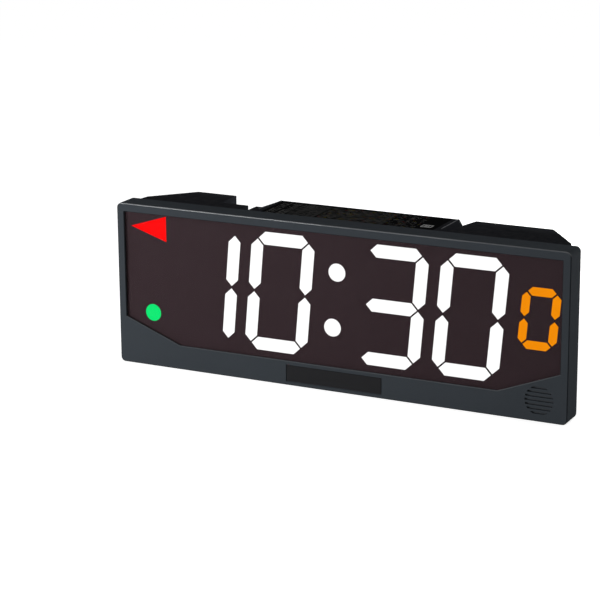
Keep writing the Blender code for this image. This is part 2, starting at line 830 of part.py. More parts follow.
def make_mask():
    """Black mask behind the lens with an opening for every bar, lamp and the remote receiver."""
    outlines = [window_outline(LENS_LIP - FIT), *wells(), circle(*ir_place(), IR_RADIUS + FIT, 12)]
    return finish(panel("mask", outlines, MASK_NEAR, MASK_FAR), "segment_mask", (0.012, 0.012, 0.013), 0.7)


def make_reflector():
    """Frame behind the diffusers with a walled well for every bar and lamp, tabs and stakes."""
    body = panel("frame", [window_outline(LENS_LIP - FIT)], FRAME_NEAR, FRAME_FAR)
    add(body, joined("tabs", [tab_solid(x, y) for x, y in tab_places()]))
    walls = []
    for x in big_digits():
        walls += reflector_outlines(x, DIGIT_MIDDLE, DIGIT_WIDTH, DIGIT_HEIGHT, STROKE)
    walls += reflector_outlines(SMALL_X, SMALL_MIDDLE, SMALL_WIDTH, SMALL_HEIGHT, SMALL_STROKE)
    ring = BAR_FIT + REFLECTOR_WALL
    walls += [circle(x, y, COLON_RADIUS + ring) for x, y in colon_places()]
    walls += [circle(*lamp_place(), LAMP_RADIUS + ring), arrow_outline(ring)]
    add(body, panel("reflector_walls", walls, FRAME_FAR - FRAME_THICK / 2, REFLECTOR_FAR))
    stakes = [stake(x, y, FRAME_NEAR + FRAME_THICK / 2, REFLECTOR_FAR, BOARD_FAR, POST_RADIUS)
              for x, y in post_places()]
    add(body, joined("stakes", stakes))
    cut(body, panel("wells", wells(), 0.0, REFLECTOR_FAR + REFLECTOR_DEPTH))
    holes = [circle(x, y, STAKE_RADIUS + FIT, 10) for x, y in tab_places()]
    holes.append(circle(*ir_place(), IR_RADIUS + FIT, 12))
    cut(body, panel("frame_holes", holes, 0.0, FRAME_FAR + REFLECTOR_DEPTH / 2))
    return finish(body, "reflector_frame", (0.03, 0.03, 0.032), 0.6)


def tab_solid(x, y):
    """An ear that joins the frame's edge to the stake beyond it."""
    ends = sorted((y - math.copysign(2 * TAB_RADIUS, y), y + math.copysign(EAR_REACH, y)))
    outline = rounded(x - TAB_RADIUS, x + TAB_RADIUS, *ends, EAR_REACH, 2)
    return panel("tab", [outline], FRAME_NEAR, FRAME_FAR)


def diffuser(name, raised, sheet, colour):
    """Raised bars or a lens that fill the mask's openings, on one thin sheet behind it."""
    body = panel(name, [sheet], SHEET_NEAR, SHEET_FAR)
    add(body, panel("raised", raised, MASK_NEAR, SHEET_FAR - SHEET_THICK / 2))
    return finish(body, name, colour, 0.5)


def digit_sheet(x, middle, width, height, stroke):
    """Outline of the sheet behind a digit's bars."""
    side = width / 2 + SHEET_MARGIN
    top = height / 2 + SHEET_MARGIN
    corner = stroke / 2
    outline = [
        (-side + corner, -top), (side - corner, -top), (side, -top + corner), (side, top - corner),
        (side - corner, top), (-side + corner, top), (-side, top - corner), (-side, -top + corner),
    ]
    return [(x + u + SLANT * v, middle + v) for u, v in outline]


def make_diffusers():
    """Diffusers of the five digits, the colon, the arrow and the round lamp."""
    names = ("minute_tens_diffuser", "minute_ones_diffuser", "second_tens_diffuser", "second_ones_diffuser")
    white = (0.9, 0.9, 0.9)
    digits = all_digits()
    for name, x, bars in zip(names, big_digits(), digits):
        sheet = digit_sheet(x, DIGIT_MIDDLE, DIGIT_WIDTH, DIGIT_HEIGHT, STROKE)
        diffuser(name, list(bars.values()), sheet, white)
    sheet = digit_sheet(SMALL_X, SMALL_MIDDLE, SMALL_WIDTH, SMALL_HEIGHT, SMALL_STROKE)
    diffuser("round_digit_diffuser", list(digits[4].values()), sheet, (0.9, 0.35, 0.03))
    for name, (x, y) in zip(("colon_lens_upper", "colon_lens_lower"), colon_places()):
        diffuser(name, [circle(x, y, COLON_RADIUS)], circle(x, y, COLON_RADIUS + SHEET_MARGIN), white)
    place = lamp_place()
    sheet = circle(*place, LAMP_RADIUS + SHEET_MARGIN)
    diffuser("ready_lens", [circle(*place, LAMP_RADIUS)], sheet, (0.02, 0.8, 0.2))
    diffuser("arrow_lens", [arrow_outline()], arrow_outline(SHEET_MARGIN), (0.9, 0.02, 0.02))


def board_outline(side):
    """Half of the window's outline, for the light board on one side."""
    edge = window_outline(LENS_LIP - FIT)
    foot_x, foot_y = edge[1]
    side_x, side_y = edge[2]
    top = edge[3][1]
    points = [(BOARD_SPLIT, foot_y), (foot_x, foot_y), (side_x, side_y), (side_x, top), (BOARD_SPLIT, top)]
    if side < 0:
        points = [(-x, y) for x, y in reversed(points)]
    return points


def spread_along(outline, count):
    """Evenly spaced points along the long middle line of a bar."""
    first, last = Vector(outline[0]), Vector(outline[3])
    return [first.lerp(last, (i + 1) / (count + 1)) for i in range(count)]


def led_places():
    """Where the light-emitting chips sit: along the bars and behind the lamps."""
    places = []
    digits = all_digits()
    for digit in digits:
        for outline in digit.values():
            places += spread_along(outline, 2)
    for x, y in (*colon_places(), lamp_place()):
        places += [Vector((x - LED_SIDE, y)), Vector((x + LED_SIDE, y))]
    back = ARROW_TIP + ARROW_LENGTH
    return places + [Vector((back - ARROW_LENGTH * share, ARROW_MIDDLE)) for share in (0.2, 0.4, 0.6)]


def make_light_boards():
    """Two circuit boards that close the backs of the wells, with their chips."""
    half = LED_SIDE / 2
    colon_split = BOARD_SPLIT + LED_SIDE
    for side, name in ((-1, "led_board_left"), (1, "led_board_right")):
        holes = [circle(x, y, STAKE_RADIUS + FIT, 8) for x, y in post_places() if x * side > 0]
        board = panel(name, [board_outline(side), *holes], BOARD_NEAR, BOARD_FAR)
        chips = [rectangle(p.x - half, p.x + half, p.y - half, p.y + half) for p in led_places()
                 if p.x * side > colon_split]
        chips_far = BOARD_NEAR + BOARD_THICK / 2
        add(board, panel("chips", chips, BOARD_NEAR - LED_THICK, chips_far))
        finish(board, name, (0.02, 0.11, 0.05), 0.5)


def make_receiver():
    """Remote receiver that looks through the mask and lens from the left light board."""
    x, y = ir_place()
    dome = IR_RADIUS * 0.6
    length = BOARD_NEAR - FIT - MASK_NEAR
    profile = [
        (0.0, length), (IR_RADIUS * 0.55, length - dome * 0.15), (IR_RADIUS * 0.88, length - dome * 0.5),
        (IR_RADIUS, length - dome), (IR_RADIUS, 0.0), (0.0, 0.0),
    ]
    body = turned("ir", profile, at(x, BOARD_NEAR - FIT, y), (0, -1, 0), steps=12)
    return finish(body, "ir_receiver", (0.02, 0.012, 0.02), 0.15, smooth=True)


def make_speaker():
    """Round speaker on a gasket behind the grille: frame with its magnet, and cone."""
    centre = speaker_centre()
    rim = speaker_rim_radius()
    seat = GRILLE_DEPTH + FIT
    gasket = GASKET_THICK
    land = rim - RIM_LAND
    profile = [(land, gasket), (rim, gasket), (rim, 0.0), (land, 0.0), (land, gasket)]
    ring = turned("gasket", profile, at(centre.x, seat + gasket, centre.y), (0, -1, 0), steps=28)
    finish(ring, "speaker_gasket", (0.02, 0.02, 0.02), 0.9, smooth=True)
    front = at(centre.x, seat + gasket + FIT, centre.y)
    floor = -SPEAKER_DEPTH * 0.4
    waist = -SPEAKER_DEPTH * 0.5
    profile = [
        (0.0, floor), (MAGNET_RADIUS * 0.8, floor), (land, -CONE_EDGE * 1.5), (land, 0.0), (rim, 0.0),
        (rim, -RIM_THICK), (land, -RIM_THICK * 1.3), (MAGNET_RADIUS, waist), (MAGNET_RADIUS, -SPEAKER_DEPTH),
        (0.0, -SPEAKER_DEPTH),
    ]
    frame = turned("speaker", profile, front, (0, -1, 0), steps=28)
    finish(frame, "speaker_frame", (0.25, 0.25, 0.26), 0.45, 0.8, smooth=True)
    edge = land - FIT
    cap = MAGNET_RADIUS * 0.5
    drop = floor + 2 * CONE_EDGE
    profile = [
        (0.0, drop + 3 * CONE_EDGE), (cap * 0.7, drop + 2.4 * CONE_EDGE), (cap, drop + CONE_EDGE),
        (edge, 0.0), (edge, -CONE_EDGE), (cap, drop), (0.0, drop),
    ]
    cone = turned("cone", profile, front, (0, -1, 0), steps=28)
    finish(cone, "speaker_cone", (0.03, 0.03, 0.03), 0.85, smooth=True)


def side_profile(name, outlines, x0, x1):
    """Outlines in depth and height, reaching from one x to another."""
    place = at((x0 + x1) / 2, 0.0, 0.0)
    return extruded(name, outlines, x1 - x0, SIDEWAYS, place)


def tray_outline():
    """Plan of the tray behind the bezel, with its two shoulders."""
    near = BEZEL_DEPTH - FLANGE_THICK / 2
    return [
        (TRAY_LEFT_INSET - HALF_WIDTH, near), (HALF_WIDTH - TRAY_RIGHT_INSET, near),
        (HALF_WIDTH - RIGHT_SHOULDER_INSET, RIGHT_SHOULDER_DEPTH), (right_side(TRAY_FAR), TRAY_FAR),
        (left_side(TRAY_FAR), TRAY_FAR), (LEFT_SHOULDER_INSET - HALF_WIDTH, LEFT_SHOULDER_DEPTH),
    ]


def slot_spans():
    """x spans of the two upright slots beside the pod."""
    return (LEFT_SLOT_END - LEFT_SLOT_WIDTH, LEFT_SLOT_END), (POD_RIGHT, RIGHT_BOX_INNER_NEAR)


def slope_outline(grow=0.0):
    """The corner that slopes off the pod's upper right edge."""
    points = [
        (POD_RIGHT - POD_SIDE_SLOPE, TRAY_TOP), (POD_RIGHT, TRAY_TOP - POD_SLOPE_DROP),
        (POD_RIGHT + POD_SIDE_SLOPE, TRAY_TOP + POD_SIDE_SLOPE),
    ]
    return grown(points, grow)


def panel_recess():
    """Cutter for the shallow seat of the top panel."""
    near, far = BEZEL_DEPTH + PANEL_MARGIN, OVERALL_DEPTH - PANEL_MARGIN
    return block("panel_seat", (PANEL_LEFT - FIT, PANEL_RIGHT + FIT), (near - FIT, far + FIT),
                 (TRAY_TOP - PANEL_RECESS, TRAY_TOP + PANEL_RECESS))


def make_rear_cover():
    """Rear cover: flange inside the bezel, hollow tray, slots, cable openings and lip blocks."""
    x, y = HALF_WIDTH - SIDE_WALL - FIT, HALF_HEIGHT - SIDE_WALL - FIT
    corner = max(FACE_CORNER - SIDE_WALL, FIT)
    near = BEZEL_DEPTH - FLANGE_THICK
    body = panel("flange", [rounded(-x, x, -y, y, corner)], near, BEZEL_DEPTH)
    outline = tray_outline()
    add(body, bevel(slab("tray", [outline], -TRAY_TOP, TRAY_TOP), CASE_EDGE, segments=1, angle=20.0))
    slot_low = TRAY_TOP - SLOT_DROP
    hollow_outline = grown(outline, -REAR_WALL)
    hollow_outline[0] = (hollow_outline[0][0], near - FLANGE_THICK)
    hollow_outline[1] = (hollow_outline[1][0], near - FLANGE_THICK)
    hollow = slab("tray_hollow", [hollow_outline], REAR_WALL - TRAY_TOP, TRAY_TOP - REAR_WALL)
    for low_x, high_x in slot_spans():
        cut(body, block("slot", (low_x, high_x), (BEZEL_DEPTH, TRAY_FAR + REAR_WALL),
                        (slot_low, TRAY_TOP + REAR_WALL)))
        keep_x = (low_x - REAR_WALL, high_x + REAR_WALL)
        cut(hollow, block("slot_wall", keep_x, (near, TRAY_FAR), (slot_low - REAR_WALL, TRAY_TOP)))
    cut(body, panel("slope", [slope_outline()], BEZEL_DEPTH, OVERALL_DEPTH))
    cut(hollow, panel("slope_wall", [slope_outline(REAR_WALL)], near, OVERALL_DEPTH))
    cut(body, hollow, panel_recess())
    reach = TRAY_FAR - 2 * REAR_WALL, TRAY_FAR + REAR_WALL
    cut(body, block("pod_way", (-RIBBON_X - RIBBON_WIDTH, RIBBON_X + RIBBON_WIDTH), reach,
                    (KEY_ROW_HEIGHT - CONTROL_BOARD_HEIGHT, KEY_ROW_HEIGHT + POCKET_HEIGHT / 2)))
    ways = CELL_LENGTH * 1.2, CELL_LENGTH * 1.5
    for x in (LEFT_BOX_INNER - 3 * CELL_RADIUS, RIGHT_BOX_INNER_FAR + 3 * CELL_RADIUS):
        cut(body, block("wire_way", (x - CELL_RADIUS, x + CELL_RADIUS), reach, ways))
    blocks = [lip_block(x) for x in case_screw_places()]
    add(body, joined("lip_blocks", blocks), joined("hooks", [hook_solid(x) for x in hook_places()]))
    top = LIP_BLOCK + SIDE_WALL
    holes = []
    for x in case_screw_places():
        foot, head = at(x, lip_depth(), -HALF_HEIGHT), at(x, lip_depth(), top - HALF_HEIGHT)
        holes.append(rod("pilot", foot, head, SCREW_SHANK + FIT / 2, 10))
    cut(body, joined("lip_pilots", holes))
    return finish(body, "rear_cover", (0.012, 0.013, 0.016), 0.5)


def lip_block(x):
    """A block on the rear cover's lower lip that takes a case screw."""
    low = SIDE_WALL + 2 * FIT - HALF_HEIGHT
    near = BEZEL_DEPTH - FLANGE_THICK
    spans = (x - LIP_BLOCK / 2, x + LIP_BLOCK / 2), (near - LIP_BLOCK, near + FLANGE_THICK / 2)
    return block("lip_block", *spans, (low, low + LIP_BLOCK))


def make_case_screws():
    """Screws up through the bezel's lower wall into the rear cover."""
    low = SCREW_HEAD_THICK + FIT - HALF_HEIGHT
    for i, x in enumerate(case_screw_places()):
        screw = screw_at(at(x, lip_depth(), low), (0, 0, -1), SCREW_LENGTH)
        finish(screw, f"case_screw_{i + 1}", (0.35, 0.35, 0.36), 0.35, 1.0, smooth=True)


def box_outline(side, wall=0.0, rear=0.0):
    """Plan of a rear box, or of its hollow when walls are given."""
    near, far = BOX_NEAR, OVERALL_DEPTH
    if wall:
        near, far = BOX_NEAR - 2 * wall, OVERALL_DEPTH - rear + wall
    if side < 0:
        inner, outer = (LEFT_BOX_INNER, LEFT_BOX_INNER), (left_side(near), left_side(far))
        points = [(outer[0], near), (inner[0], near), (inner[1], far), (outer[1], far)]
    else:
        lean = (RIGHT_BOX_INNER_FAR - RIGHT_BOX_INNER_NEAR) / (OVERALL_DEPTH - BOX_NEAR)
        inner = [RIGHT_BOX_INNER_NEAR + lean * (depth - BOX_NEAR) for depth in (near, far)]
        points = [(inner[0], near), (right_side(near), near), (right_side(far), far), (inner[1], far)]
    return grown(points, -wall)


def door_span(side):
    """x span of a battery door's opening in the flat rear of its box."""
    if side < 0:
        return LEFT_REAR_CORNER + DOOR_SIDE_MARGIN, LEFT_BOX_INNER - DOOR_SIDE_MARGIN
    return RIGHT_BOX_INNER_FAR + DOOR_SIDE_MARGIN, RIGHT_REAR_CORNER - DOOR_SIDE_MARGIN


def hinge_x(side):
    """x of a door's hinge axis, on the edge towards the middle of the timer."""
    low, high = door_span(side)
    return high - RUNNING - HINGE_RADIUS if side < 0 else low + RUNNING + HINGE_RADIUS


def hinge_depth():
    """Depth of both hinge axes, so that the door's outside is flush."""
    return OVERALL_DEPTH - HINGE_RADIUS


def make_box(side, name):
    """A rear box: shell open to the tray, door opening, hinge pin holes and a finger recess."""
    body = bevel(slab(name, [box_outline(side)], -TRAY_TOP, TRAY_TOP), CASE_EDGE, angle=20.0)
    hollow = box_outline(side, BOX_WALL, BOX_REAR_WALL)
    inside = slab("box_inside", [hollow], BOX_WALL - TRAY_TOP, TRAY_TOP - BOX_WALL)
    low, high = door_span(side)
    rear = OVERALL_DEPTH - 2 * BOX_REAR_WALL, OVERALL_DEPTH + BOX_REAR_WALL
    opening = block("door_opening", (low, high), rear, (-DOOR_HEIGHT / 2, DOOR_HEIGHT / 2))
    reach = DOOR_HEIGHT / 2 + HINGE_PIN_LENGTH + RUNNING
    pin_ends = [at(hinge_x(side), hinge_depth(), height) for height in (-reach, reach)]
    pin = rod("pin_hole", *pin_ends, HINGE_PIN_RADIUS + FIT, 12)
    free = low if side < 0 else high
    ends = [at(free, OVERALL_DEPTH + reach, 0.0) for reach in (-FINGER_DEPTH, FINGER_DEPTH)]
    finger = rod("finger", *ends, FINGER_RADIUS, 20)
    cut(body, inside, opening, pin, finger)
    return finish(body, name, (0.012, 0.013, 0.016), 0.5)


def make_door(side, name):
    """A battery door with a round hinge edge and two pins; its origin is on its hinge."""
    low, high = door_span(side)
    x = hinge_x(side)
    free = low + RUNNING - x if side < 0 else high - RUNNING - x
    half = DOOR_HEIGHT / 2 - RUNNING
    skin = HINGE_RADIUS
    outline = rectangle(min(0.0, free), max(0.0, free), skin - DOOR_THICK, skin)
    body = extruded(name, [outline], 2 * half, (0.0, 0.0, 0.0), at(x, hinge_depth(), 0.0))
    bottom, top = at(x, hinge_depth(), -half), at(x, hinge_depth(), half)
    rise = Vector((0, 0, HINGE_PIN_LENGTH))
    pins = rod("pins", bottom - rise, top + rise, HINGE_PIN_RADIUS, 12)
    add(body, rod("barrel", bottom, top, HINGE_RADIUS, 16), pins)
    return finish(body, name, (0.014, 0.015, 0.018), 0.5)


def cell_columns(side):
    """x of the two columns of battery cells in a box, the inner one first."""
    step = 2 * CELL_RADIUS + FIT
    if side < 0:
        first = LEFT_BOX_INNER - BOX_WALL - 3 * FIT - CELL_RADIUS
        return first, first - step
    first = RIGHT_BOX_INNER_FAR + BOX_WALL + DOOR_SIDE_MARGIN + CELL_RADIUS
    return first, first + step


def cell_depth():
    """Depth of the cells' axes, on the cradle."""
    return BOX_NEAR + CRADLE_WALL + FIT + CELL_RADIUS


def make_cells(side, name):
    """Four battery cells in two columns, on their cradle."""
    rise = CELL_LENGTH + FIT
    profile = [
        (0.0, CELL_LENGTH), (CELL_NUB_RADIUS, CELL_LENGTH), (CELL_NUB_RADIUS, CELL_LENGTH - CELL_NUB),
        (CELL_RADIUS * 0.95, CELL_LENGTH - CELL_NUB), (CELL_RADIUS, CELL_LENGTH - 2 * CELL_NUB),
        (CELL_RADIUS, CELL_NUB / 2), (CELL_RADIUS * 0.97, 0.0), (0.0, 0.0),
    ]
    for column, x in enumerate(cell_columns(side)):
        for row in range(2):
            foot = at(x, cell_depth(), (row - 1) * rise + FIT / 2)
            cell = turned("cell", profile, foot, (0, 0, 1), steps=20)
            finish(cell, f"{name}_cell_{2 * column + row + 1}", (0.5, 0.42, 0.2), 0.3, 0.6, smooth=True)
    edges = sorted(cell_columns(side))
    x_span = edges[0] - CELL_RADIUS * 0.8, edges[1] + CELL_RADIUS * 0.8
    far = BOX_NEAR + CRADLE_WALL
    cradle = block("cradle", x_span, (BOX_NEAR, far), (-rise - CRADLE_WALL, rise + CRADLE_WALL))
    for low in (-rise - CRADLE_WALL, rise + FIT):
        spans = (BOX_NEAR, far + CRADLE_REACH), (low, low + CRADLE_WALL - FIT)
        add(cradle, block("cradle_end", x_span, *spans))
    finish(cradle, f"{name}_cradle", (0.03, 0.03, 0.032), 0.55)


def pod_outline(wall=0.0):
    """Plan of the middle pod, or of its hollow when a wall is given."""
    near, far = BOX_NEAR, OVERALL_DEPTH
    if wall:
        near, far = BOX_NEAR - 2 * wall, OVERALL_DEPTH - POD_REAR_WALL + wall
    lean = (POD_LEFT_FAR - POD_LEFT_NEAR) / (OVERALL_DEPTH - BOX_NEAR)
    left = [POD_LEFT_NEAR + lean * (depth - BOX_NEAR) for depth in (near, far)]
    return grown([(left[0], near), (POD_RIGHT, near), (POD_RIGHT, far), (left[1], far)], -wall)


def key_places():
    """x of each key, left to right as seen from the front."""
    return [KEYS_LEFT + i * KEY_PITCH for i in range(KEY_COUNT)]


def pocket_floor():
    """Depth of the floor of the shallow pocket that holds the controls."""
    return OVERALL_DEPTH - POCKET_DEPTH


def board_far():
    """Depth of the control board's rear face, under the key switches."""
    return OVERALL_DEPTH - POD_REAR_WALL - FIT - KEY_FLANGE - KEY_TRAVEL - FIT - TACT_THICK


def control_board_span():
    """x and height spans of the control board."""
    x_span = POD_LEFT_NEAR + BOX_WALL + CONTROL_BOARD_SIDE, POD_RIGHT - BOX_WALL - CONTROL_BOARD_SIDE
    middle = KEY_ROW_HEIGHT
    return x_span, (middle - CONTROL_BOARD_HEIGHT / 2, middle + CONTROL_BOARD_HEIGHT / 2)


def control_stakes():
    """Where the control board is staked to the pod."""
    (x0, x1), (y0, y1) = control_board_span()
    inset = 2 * POST_RADIUS
    return [(x, y) for x in (x0 + inset, x1 - inset) for y in (y0 + inset, y1 - inset)]


def key_outline(x, grow=0.0):
    """Outline of a key's cap, or of its hole."""
    w, h = KEY_WIDTH / 2 + grow, KEY_HEIGHT / 2 + grow
    return rounded(x - w, x + w, KEY_ROW_HEIGHT - h, KEY_ROW_HEIGHT + h, KEY_CORNER + grow, 3)


def rocker_outline(grow=0.0):
    """Outline of the rocker switch's body round the rocker and its running gap."""
    gap = RUNNING + ROCKER_BODY_WALL + grow
    w, h = ROCKER_WIDTH / 2 + gap, ROCKER_HEIGHT / 2 + gap
    return rectangle(ROCKER_X - w, ROCKER_X + w, KEY_ROW_HEIGHT - h, KEY_ROW_HEIGHT + h)


def make_pod():
    """Middle pod: shell open to the tray, sloped edge, control pocket, holes and stakes."""
    low = TRAY_TOP - POD_HEIGHT
    body = bevel(slab("pod", [pod_outline()], low, TRAY_TOP), CASE_EDGE)
    inside = slab("pod_inside", [pod_outline(BOX_WALL)], low + BOX_WALL, TRAY_TOP - BOX_WALL)
    cut(inside, panel("pod_slope_wall", [slope_outline(BOX_WALL)], BEZEL_DEPTH, OVERALL_DEPTH))
    slope = panel("pod_slope", [slope_outline()], BEZEL_DEPTH, OVERALL_DEPTH + POD_REAR_WALL)
    y, half = KEY_ROW_HEIGHT, POCKET_HEIGHT / 2
    outline = rounded(POCKET_LEFT, POCKET_RIGHT, y - half, y + half, PANEL_MARGIN, 4)
    pocket = panel("pocket", [outline], pocket_floor(), OVERALL_DEPTH + POCKET_DEPTH)
    holes = [key_outline(x, RUNNING) for x in key_places()]
    holes += [rocker_outline(FIT), circle(KNOB_X, y, POT_SHAFT_RADIUS + RUNNING, 16)]
    holes.append(circle(INLET_X, y, INLET_RADIUS + FIT, 20))
    through = panel("control_holes", holes, OVERALL_DEPTH - 2 * POD_REAR_WALL, OVERALL_DEPTH)
    cut(body, slope, inside, panel_recess(), pocket, through)
    wall_near = OVERALL_DEPTH - POD_REAR_WALL
    stakes = [rear_stake(x, y, wall_near) for x, y in control_stakes()]
    add(body, joined("control_stakes", stakes))
    return finish(body, "centre_pod", (0.012, 0.013, 0.016), 0.5)


def rear_stake(x, y, wall_near):
    """A pillar from the pod's rear wall to the control board, with a pin through the board."""
    shoulder = wall_near - board_far() - FIT
    reach = shoulder + FIT + BOARD_THICK + STAKE_PROUD
    profile = [
        (0.0, reach), (STAKE_RADIUS, reach), (STAKE_RADIUS, shoulder), (POST_RADIUS, shoulder),
        (POST_RADIUS, -POCKET_DEPTH / 4), (0.0, -POCKET_DEPTH / 4),
    ]
    return turned("rear_stake", profile, at(x, wall_near, y), (0, -1, 0), steps=12)


def make_top_panel():
    """Flat panel seated over the joint between the tray and the pod."""
    near, far = BEZEL_DEPTH + PANEL_MARGIN, OVERALL_DEPTH - PANEL_MARGIN
    low = TRAY_TOP - PANEL_RECESS + FIT
    plate = block("top_panel", (PANEL_LEFT, PANEL_RIGHT), (near, far), (low, low + PANEL_THICK))
    return finish(plate, "top_panel", (0.01, 0.01, 0.01), 0.35)


def make_control_board():
    """Control board in the pod with its key switches, chips and connectors fused on."""
    (x0, x1), (y0, y1) = control_board_span()
    far = board_far()
    near = far - BOARD_THICK
    holes = [circle(x, y, STAKE_RADIUS + FIT, 8) for x, y in control_stakes()]
    holes.append(rocker_outline(2 * FIT))
    board = panel("control_board", [rectangle(x0, x1, y0, y1), *holes], near, far)
    y, half, chip = KEY_ROW_HEIGHT, KEY_HEIGHT * 0.3, CHIP_SIDE / 2
    tacts = [rectangle(x - half, x + half, y - half, y + half) for x in key_places()]
    add(board, panel("tacts", tacts, far - BOARD_THICK / 2, far + TACT_THICK))
    chips = [rectangle(x - chip, x + chip, y - chip, y + chip) for x in (-4 * CHIP_SIDE, 0.0)]
    add(board, panel("chips", chips, near - CHIP_THICK, near + BOARD_THICK / 2))
    low = y0 + CHIP_SIDE / 2
    cans = [circle(x, low, CHIP_SIDE / 3, 12) for x in (-2 * CHIP_SIDE, 2 * CHIP_SIDE)]
    add(board, panel("capacitors", cans, near - CHIP_SIDE, near + BOARD_THICK / 2))
    return finish(board, "control_board", (0.02, 0.11, 0.05), 0.5)


def make_keys():
    """Six sprung keys in the pod's pocket; each slides on its own axis."""
    names = ("start_stop", "reset", "mode", "up", "down", "buzzer")
    wall_near = OVERALL_DEPTH - POD_REAR_WALL
    flange_far = wall_near - FIT
    top = pocket_floor() + KEY_PROUD
    w, h = KEY_WIDTH / 2 + KEY_FLANGE_WIDTH, KEY_HEIGHT / 2 + KEY_FLANGE_WIDTH
    for x, name in zip(key_places(), names):
        place = at(x, flange_far - KEY_FLANGE / 2, KEY_ROW_HEIGHT)
        flange = extruded("key", [rounded(-w, w, -h, h, KEY_CORNER, 3)], KEY_FLANGE, FACING, place)
        cap = panel("cap", [key_outline(x)], flange_far - KEY_FLANGE / 2, top)
        add(flange, weighted_bevel(cap, 0.0, KEY_EDGE, 2))
        finish(flange, f"key_{name}", (0.05, 0.055, 0.06), 0.6)


def make_rocker():
    """Power switch: frame seated in the pocket, and a rocker that tips on its middle."""
    seat = pocket_floor() + FIT
    back = pocket_floor() - ROCKER_BODY_DEPTH
    y, axis_depth = KEY_ROW_HEIGHT, rocker_axis_depth()
    frame = panel("rocker_frame", [rocker_outline(ROCKER_BORDER)], seat, seat + ROCKER_FLANGE)
    add(frame, panel("rocker_body", [rocker_outline()], back, seat + ROCKER_FLANGE / 2))
    inside = back + ROCKER_BODY_WALL, OVERALL_DEPTH
    space = panel("rocker_space", [rocker_outline(-ROCKER_BODY_WALL)], *inside)
    reach = ROCKER_WIDTH / 2 + RUNNING + ROCKER_BODY_WALL
    hole_ends = [at(ROCKER_X + x, axis_depth, y) for x in (-2 * reach, 2 * reach)]
    cut(frame, space, rod("pivot_holes", *hole_ends, ROCKER_PIVOT + FIT, 12))
    finish(frame, "rocker_frame", (0.02, 0.02, 0.021), 0.4)
    h, outer = ROCKER_HEIGHT / 2, ROCKER_RISE
    profile = [
        (-ROCKER_DEEP, -h * 0.6), (outer * 0.2, -h), (outer, -h), (outer * 0.45, 0.0), (outer, h),
        (outer * 0.2, h), (-ROCKER_DEEP, h * 0.6),
    ]
    tilt = Matrix.Rotation(math.radians(-ROCKER_TILT), 2)
    tilted = [tuple(tilt @ Vector(point)) for point in profile]
    rocker = extruded("rocker", [tilted], ROCKER_WIDTH, SIDEWAYS, at(ROCKER_X, axis_depth, y))
    pin_ends = [at(ROCKER_X + x, axis_depth, y) for x in (FIT - reach, reach - FIT)]
    add(rocker, rod("pivots", *pin_ends, ROCKER_PIVOT, 12))
    finish(rocker, "power_rocker", (0.35, 0.02, 0.02), 0.35)


def rocker_axis_depth():
    """Depth of the rocker's axis, so that its raised end stays inside the case's depth."""
    return OVERALL_DEPTH - ROCKER_RISE - ROCKER_HEIGHT / 2 * math.sin(math.radians(ROCKER_TILT)) - FIT


def make_knob():
    """Volume control: fluted knob with its shaft, and the fixed body that it turns in."""
    floor = pocket_floor()
    count = 48
    outline = []
    for i in range(count):
        radius = KNOB_RADIUS - (KNOB_FLUTE if i % 2 else 0.0)
        t = 2 * math.pi * i / count
        outline.append((radius * math.cos(t), radius * math.sin(t)))
    y, middle = KEY_ROW_HEIGHT, floor + RUNNING + KNOB_THICK / 2
    knob = extruded("knob", [outline], KNOB_THICK, FACING, at(KNOB_X, middle, y))
    near = board_far() + FIT
    bore_floor = near + POT_FLOOR
    ends = at(KNOB_X, bore_floor + FIT, y), at(KNOB_X, middle, y)
    add(knob, rod("shaft", *ends, POT_SHAFT_RADIUS, 16))
    mark_low = y + KNOB_RADIUS * 0.45
    mark_depth = middle + KNOB_THICK / 2 - KNOB_FLUTE
    cut(knob, block("mark", (KNOB_X - KNOB_FLUTE, KNOB_X + KNOB_FLUTE), (mark_depth, OVERALL_DEPTH),
                    (mark_low, mark_low * 2 - y)))
    finish(knob, "volume_knob", (0.03, 0.03, 0.032), 0.5)
    half = POT_BODY / 2
    far = OVERALL_DEPTH - POD_REAR_WALL - FIT
    pot = block("pot", (KNOB_X - half, KNOB_X + half), (near, far), (y - half, y + half))
    ends = at(KNOB_X, bore_floor, y), at(KNOB_X, OVERALL_DEPTH, y)
    cut(pot, rod("pot_bore", *ends, POT_SHAFT_RADIUS + RUNNING, 16))
    finish(pot, "volume_pot", (0.3, 0.3, 0.31), 0.4, 0.7)


def make_inlet():
    """Power inlet: rimmed barrel with a bore and a pin that stays below the rim."""
    floor = pocket_floor()
    mouth = INLET_RIM_THICK
    bottom = mouth - INLET_BORE_DEPTH
    pin_top = bottom + INLET_PIN_LENGTH
    rim = INLET_RADIUS + INLET_RIM
    profile = [
        (0.0, pin_top), (INLET_PIN, pin_top), (INLET_PIN, bottom), (INLET_BORE, bottom), (INLET_BORE, mouth),
        (rim, mouth), (rim, 0.0), (INLET_RADIUS, 0.0), (INLET_RADIUS, mouth - INLET_BODY_DEPTH),
        (0.0, mouth - INLET_BODY_DEPTH),
    ]
    inlet = turned("inlet", profile, at(INLET_X, floor + FIT, KEY_ROW_HEIGHT), (0, 1, 0), steps=20)
    finish(inlet, "power_inlet", (0.02, 0.02, 0.021), 0.4, smooth=True)


